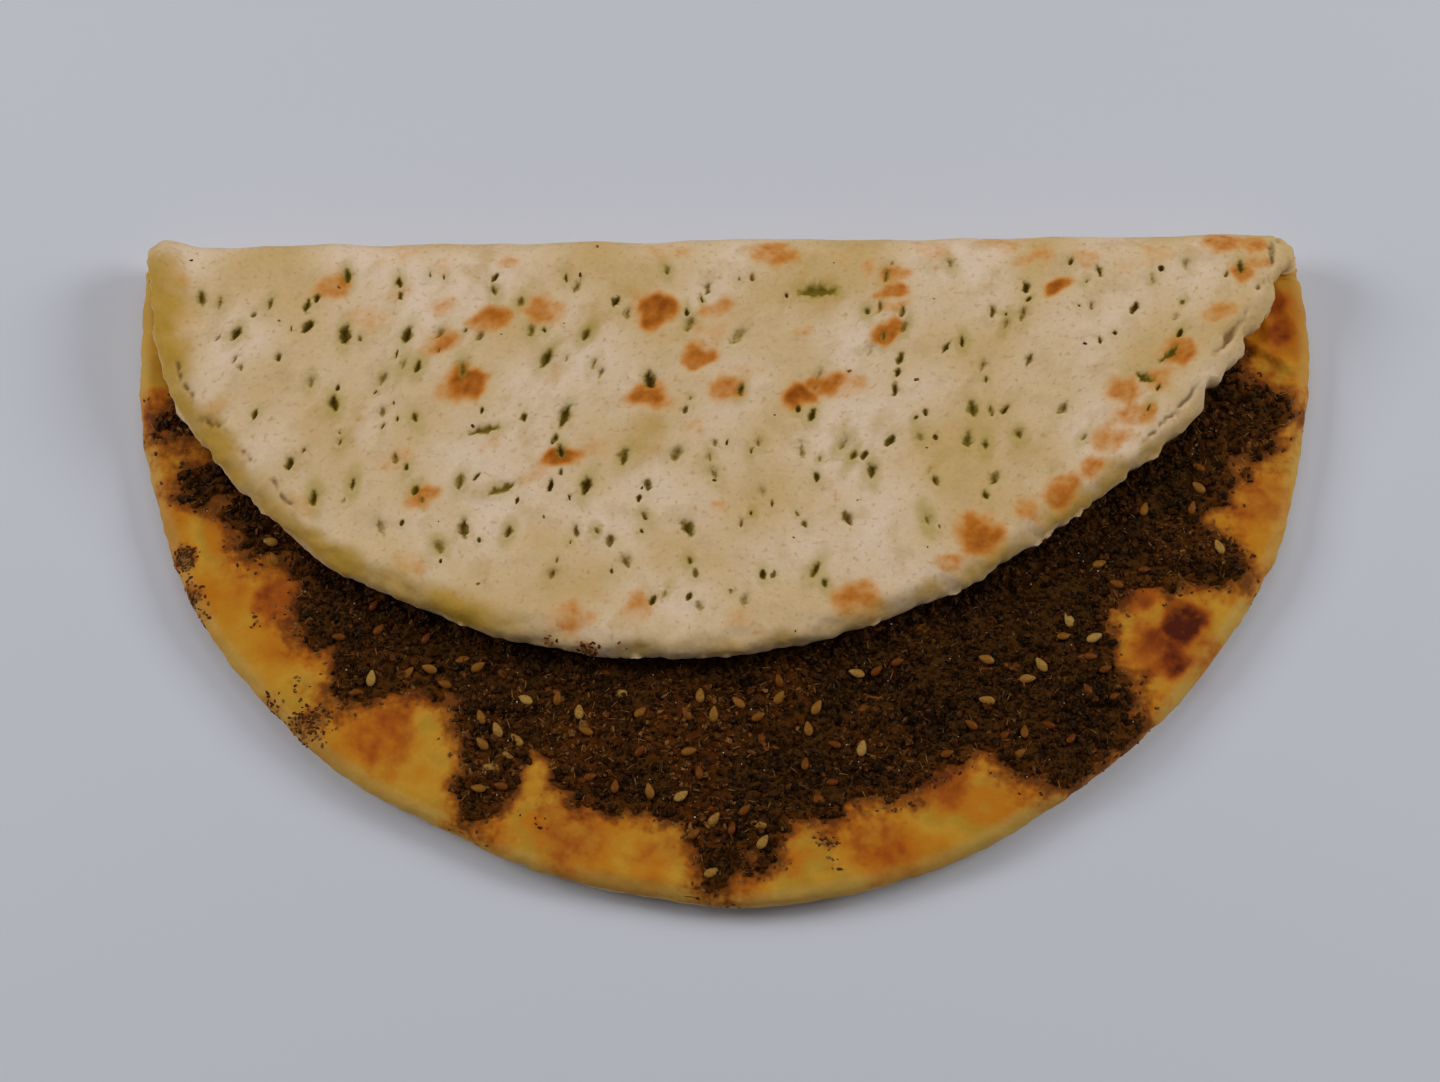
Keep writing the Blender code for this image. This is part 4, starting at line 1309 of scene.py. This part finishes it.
# Shape, and the settings above, for each kind of bit
BITS = {
    "thyme_flakes": ("flake", "shown", 6.5e5, 0.4, 1.35, 1.1, 0.1 * MM, 0.0, 0.9, 31),
    "sumac_grains": ("grain", "shown", 4.0e5, 0.45, 1.5, 0.9, 0.1 * MM, 0.0, 0.8, 37),
    "thyme_stems": ("stem", "shown", 2.6e5, 0.3, 0.95, 0.5, 0.3 * MM, 0.35, 1.15, 39),
    "herb_clumps": ("clump", "shown", 9.0e4, 0.5, 1.1, 1.5, 0.1 * MM, 0.1, 0.8, 40),
    "salt_grains": ("salt", "shown", 1.2e4, 0.35, 0.8, 0.9, 0.3 * MM, 0.0, 1.0, 41),
    "stray_herbs": ("flake", "strays", 1.4e6, 0.35, 0.95, 0.35, 0.03 * MM, 0.5, 1.0, 43),
}


def scatter_kind(name, surface, finish):
    shape, *settings = BITS[name]
    scattered(name, surface, scatter, {
        "Bit": shapes[shape], "Finish": finish, **dict(zip(SETTINGS, settings)),
    })


for name in ("thyme_flakes", "sumac_grains", "thyme_stems", "herb_clumps"):
    scatter_kind(name, paste.data, herb_finish)

# %% [markdown]
# ## Sesame seeds
#
# A sesame seed is a flat drop about 3.3 mm long. Those that stand out are listed, and
# the rest are drawn with a fixed seed, by the same rule as in the imported model. A second small
# tree sets a seed on each point and turns it as its point says.

# %% Where the sesame seeds lie
SEED_COUNT, SEED_SEED = 84, 5
SEEDS_APART, SEEDS_CLEAR_OF_FLAP, SEEDS_CLEAR_OF_EDGE = 3.6 * MM, 4.0 * MM, 2.5 * MM
# How high their middles lie on the dough, in mm
SEED_HEIGHTS = (0.9, 1.6)
# Seeds that stand out, x and y in mm
SEEN_SEEDS = (
    (-46, -90), (-49, -93), (-44, -95), (-47, -98), (-42, -92), (-45, -102), (-75, -82), (-72, -79),
    (-94, -49), (-93, -53), (-28, -90), (-27, -100), (-22, -102), (-17, -86), (-5, -99),
    (-15, -103), (22, -101), (-6, -112), (-2, -109), (7, -110), (3, -84), (7, -87), (-32, -71),
    (76, -70), (71, -66), (78, -77), (62, -79), (66, -89), (57, -91), (60, -95), (-79, -70),
    (-57, -80), (-72, -63),
)


def seed_places():
    """(x, y, turn) of each seed on the open part of the zaatar."""
    draw = random.Random(SEED_SEED)
    places = [(x * MM, y * MM, draw.uniform(0, math.pi)) for x, y in SEEN_SEEDS]
    while len(places) < SEED_COUNT:
        x = draw.uniform(-BREAD_RADIUS, BREAD_RADIUS)
        y = draw.uniform(-BREAD_RADIUS, BEND_STARTS_AT)
        apart = all(math.hypot(x - p[0], y - p[1]) > SEEDS_APART for p in places)
        inside = from_topping(x, y) > SEEDS_CLEAR_OF_EDGE
        if inside and is_open(x, y, SEEDS_CLEAR_OF_FLAP) and apart:
            places.append((x, y, draw.uniform(0, math.pi)))
    return places


seeds_at = seed_places()
draw = random.Random(SEED_SEED + 1)
seed_points = bpy.data.meshes.new("seed_points")
seed_points.from_pydata([
    (x, y, upper_height(x, y) + draw.uniform(*SEED_HEIGHTS) * MM) for x, y, _ in seeds_at
], [], [])
store(seed_points, "turn", [turn for _, _, turn in seeds_at])
print("sesame seeds", len(seeds_at))

# %% Make the sesame seeds
# Length, width and depth in mm, how much slimmer its pointed end is, and how far it leans
SEED_SIDES, SEED_NARROWS, SEED_LEAN = (3.3, 2.0, 1.2), 0.38, Vector((0.3, 0.25, 0.0))
bm = bmesh.new()
bmesh.ops.create_uvsphere(bm, u_segments=12, v_segments=8, radius=0.5)
for vertex in bm.verts:
    along, narrow = vertex.co.z, 1 - SEED_NARROWS * smooth(-0.2, 0.5, vertex.co.z)
    vertex.co = Vector((along, narrow * vertex.co.y, narrow * vertex.co.x))
shapes["seed"] = keep_shape("seed", bm, SEED_SIDES)
shapes["seed"].data.shade_smooth()

seat, given = new_tree("seat_seeds", {"Places": "Geometry", **BIT_INPUTS})
shade = add_node(seat, "FunctionNodeRandomValue", {"Seed": given["Seed"]}, RANDOM_NUMBER,
                 data_type="FLOAT")
shaded = add_node(seat, "GeometryNodeStoreNamedAttribute", {
    "Geometry": given["Places"], "Name": "shade", "Value": shade,
}, "Geometry", data_type="FLOAT", domain="POINT")
turn = add_node(seat, "GeometryNodeInputNamedAttribute", {"Name": "turn"}, "Attribute",
                data_type="FLOAT")
lean = add_node(seat, "FunctionNodeRandomValue", {
    0: -SEED_LEAN, 1: SEED_LEAN, "Seed": given["Seed"],
}, 0, data_type="FLOAT_VECTOR")
flat_turn = add_node(seat, "ShaderNodeCombineXYZ", {"Z": turn}, "Vector")
turned = add_node(seat, "FunctionNodeRotateRotation", {
    "Rotation": flat_turn, "Rotate By": lean,
}, "Rotation", rotation_space="LOCAL")
set_bits(seat, shaded, turned, given)
scattered("sesame_seeds", seed_points, seat, {
    "Bit": shapes["seed"], "Smallest": 0.82, "Largest": 1.08, "Seed": 3, "Finish": seed_finish,
})

# %% [markdown]
# ## Salt and stray crumbs
#
# Coarse salt catches the light as white points in the dark topping. Loose herbs also fell on
# the rim and along the flap's edge, most of them close to the topping, with a few small heaps.
# The same tree spreads both, with one more number stored on the dough for the strays.

# %% Make the salt and the strays
scatter_kind("salt_grains", paste.data, salt_finish)
# How far strays lie from the topping, how far under it they go, and the width of their clusters
STRAY_REACH, STRAY_UNDER, STRAY_CLUSTER = 5 * MM, 1.5 * MM, 2.4 * MM
# How thickly they lie in heaps on the rim, in heaps on the crust and singly on the crust
RIM_HEAP, CRUST_HEAP, SINGLY = 5, 1.5, 0.0006
near = np.clip(1 + dough_cover / STRAY_REACH, 0, 1) ** 3 * (dough_cover < STRAY_UNDER)
clumped = at_places(dough_places, lambda u, v: smooth(-0.1, 0.5, ripple(u, v, STRAY_CLUSTER, 16.0)))
on_crust = CRUST_HEAP * crust_heaps ** 2 + SINGLY * on_flap
on_rim = np.maximum(near * (0.1 + 0.9 * clumped), RIM_HEAP * heaps ** 2 * (0.3 + 0.7 * clumped))
store(dough.data, "strays", np.where(is_crust, on_crust, on_rim))
# Alone on the pale dough they look a little lighter and redder
store(dough.data, "ruddy", np.full(len(dough_places), 0.1))
scatter_kind("stray_herbs", dough.data, herb_finish)
for shape in shapes.values():
    bpy.data.objects.remove(shape)

# %% [markdown]
# ## Floor, light and camera
#
# The bread lies on pale matt paper under soft light that comes mostly from behind and from
# both sides, so the shadows are short, grey and deepest under the front rim. One large lamp
# would leave one side dark. The camera looks down steeply at the middle of the bread.

# %% Floor and lights
bpy.ops.mesh.primitive_plane_add(size=4.0, location=(0, 0, -0.1 * MM))
floor = bpy.context.object
floor.name = "pale_paper_floor"
# Uncoated paper scatters light evenly, so it shows only soft shadows
floor_finish, tree, shader = new_finish("matt_white_paper")
fill(tree, shader, {"Base Color": from_hex("DADCE4"), "Roughness": 0.9})
floor.data.materials.append(floor_finish)

# Name: place in metres, size in metres and power in watts
LIGHTS = {
    "back_softbox": ((0.0, 0.60, 1.25), 0.9, 3.0),
    "left_softbox": ((-0.95, 0.20, 0.72), 0.5, 5.1),
    "right_softbox": ((0.95, 0.20, 0.72), 0.5, 5.1),
}
for name, (spot, size, power) in LIGHTS.items():
    lamp = bpy.data.lights.new(name, "AREA")
    lamp.size, lamp.energy = size, power
    holder = add_object(name, lamp)
    holder.location = spot
    holder.rotation_euler = (-Vector(spot)).to_track_quat("-Z", "Y").to_euler()
world = bpy.data.worlds.new("soft_room")
world.use_nodes = True
tree = world.node_tree
fill(tree, tree.nodes["Background"], {"Color": from_hex("E4E8F2"), "Strength": 0.14})
bpy.context.scene.world = world
print("lights", list(LIGHTS))

# %% Camera
CAMERA_DISTANCE, CAMERA_LENS, SENSOR_WIDTH = 0.75, 89.4, 36
CAMERA_HEIGHT_ANGLE = math.radians(68.75)
AIM = Vector((-1.1 * MM, 7.3 * MM, 0))
look = Vector((0, math.cos(CAMERA_HEIGHT_ANGLE), -math.sin(CAMERA_HEIGHT_ANGLE)))
camera = bpy.data.cameras.new("camera")
camera.lens, camera.sensor_width = CAMERA_LENS, SENSOR_WIDTH
camera_holder = add_object("camera", camera)
camera_holder.location = AIM - CAMERA_DISTANCE * look
camera_holder.rotation_euler = (math.pi / 2 - CAMERA_HEIGHT_ANGLE, 0, 0)
bpy.context.scene.camera = camera_holder
bpy.context.scene.view_settings.view_transform = "Standard"
print("camera at", [round(c, 3) for c in camera_holder.location])

# %% [markdown]
# ## Into the imported model's place
#
# So far the sheet was folded about its own middle. The imported model stands on the middle of its
# box, so every piece moves by the same step, in its mesh rather than as an object.

# %% Move the pieces into place and finish
packed_low, packed_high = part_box("flatbread")
corners = np.array([vertex.co for vertex in dough.data.vertices])
packed_middle = [(packed_low[axis] + packed_high[axis]) / 2 for axis in (0, 1)]
dough_middle = [(corners[:, axis].min() + corners[:, axis].max()) / 2 for axis in (0, 1)]
step = Vector((packed_middle[0] - dough_middle[0], packed_middle[1] - dough_middle[1], 0))
for piece in pieces:
    for vertex in piece.data.vertices:
        vertex.co += step
    piece.data.update()
print("moved by mm", [round(c / MM, 2) for c in step])
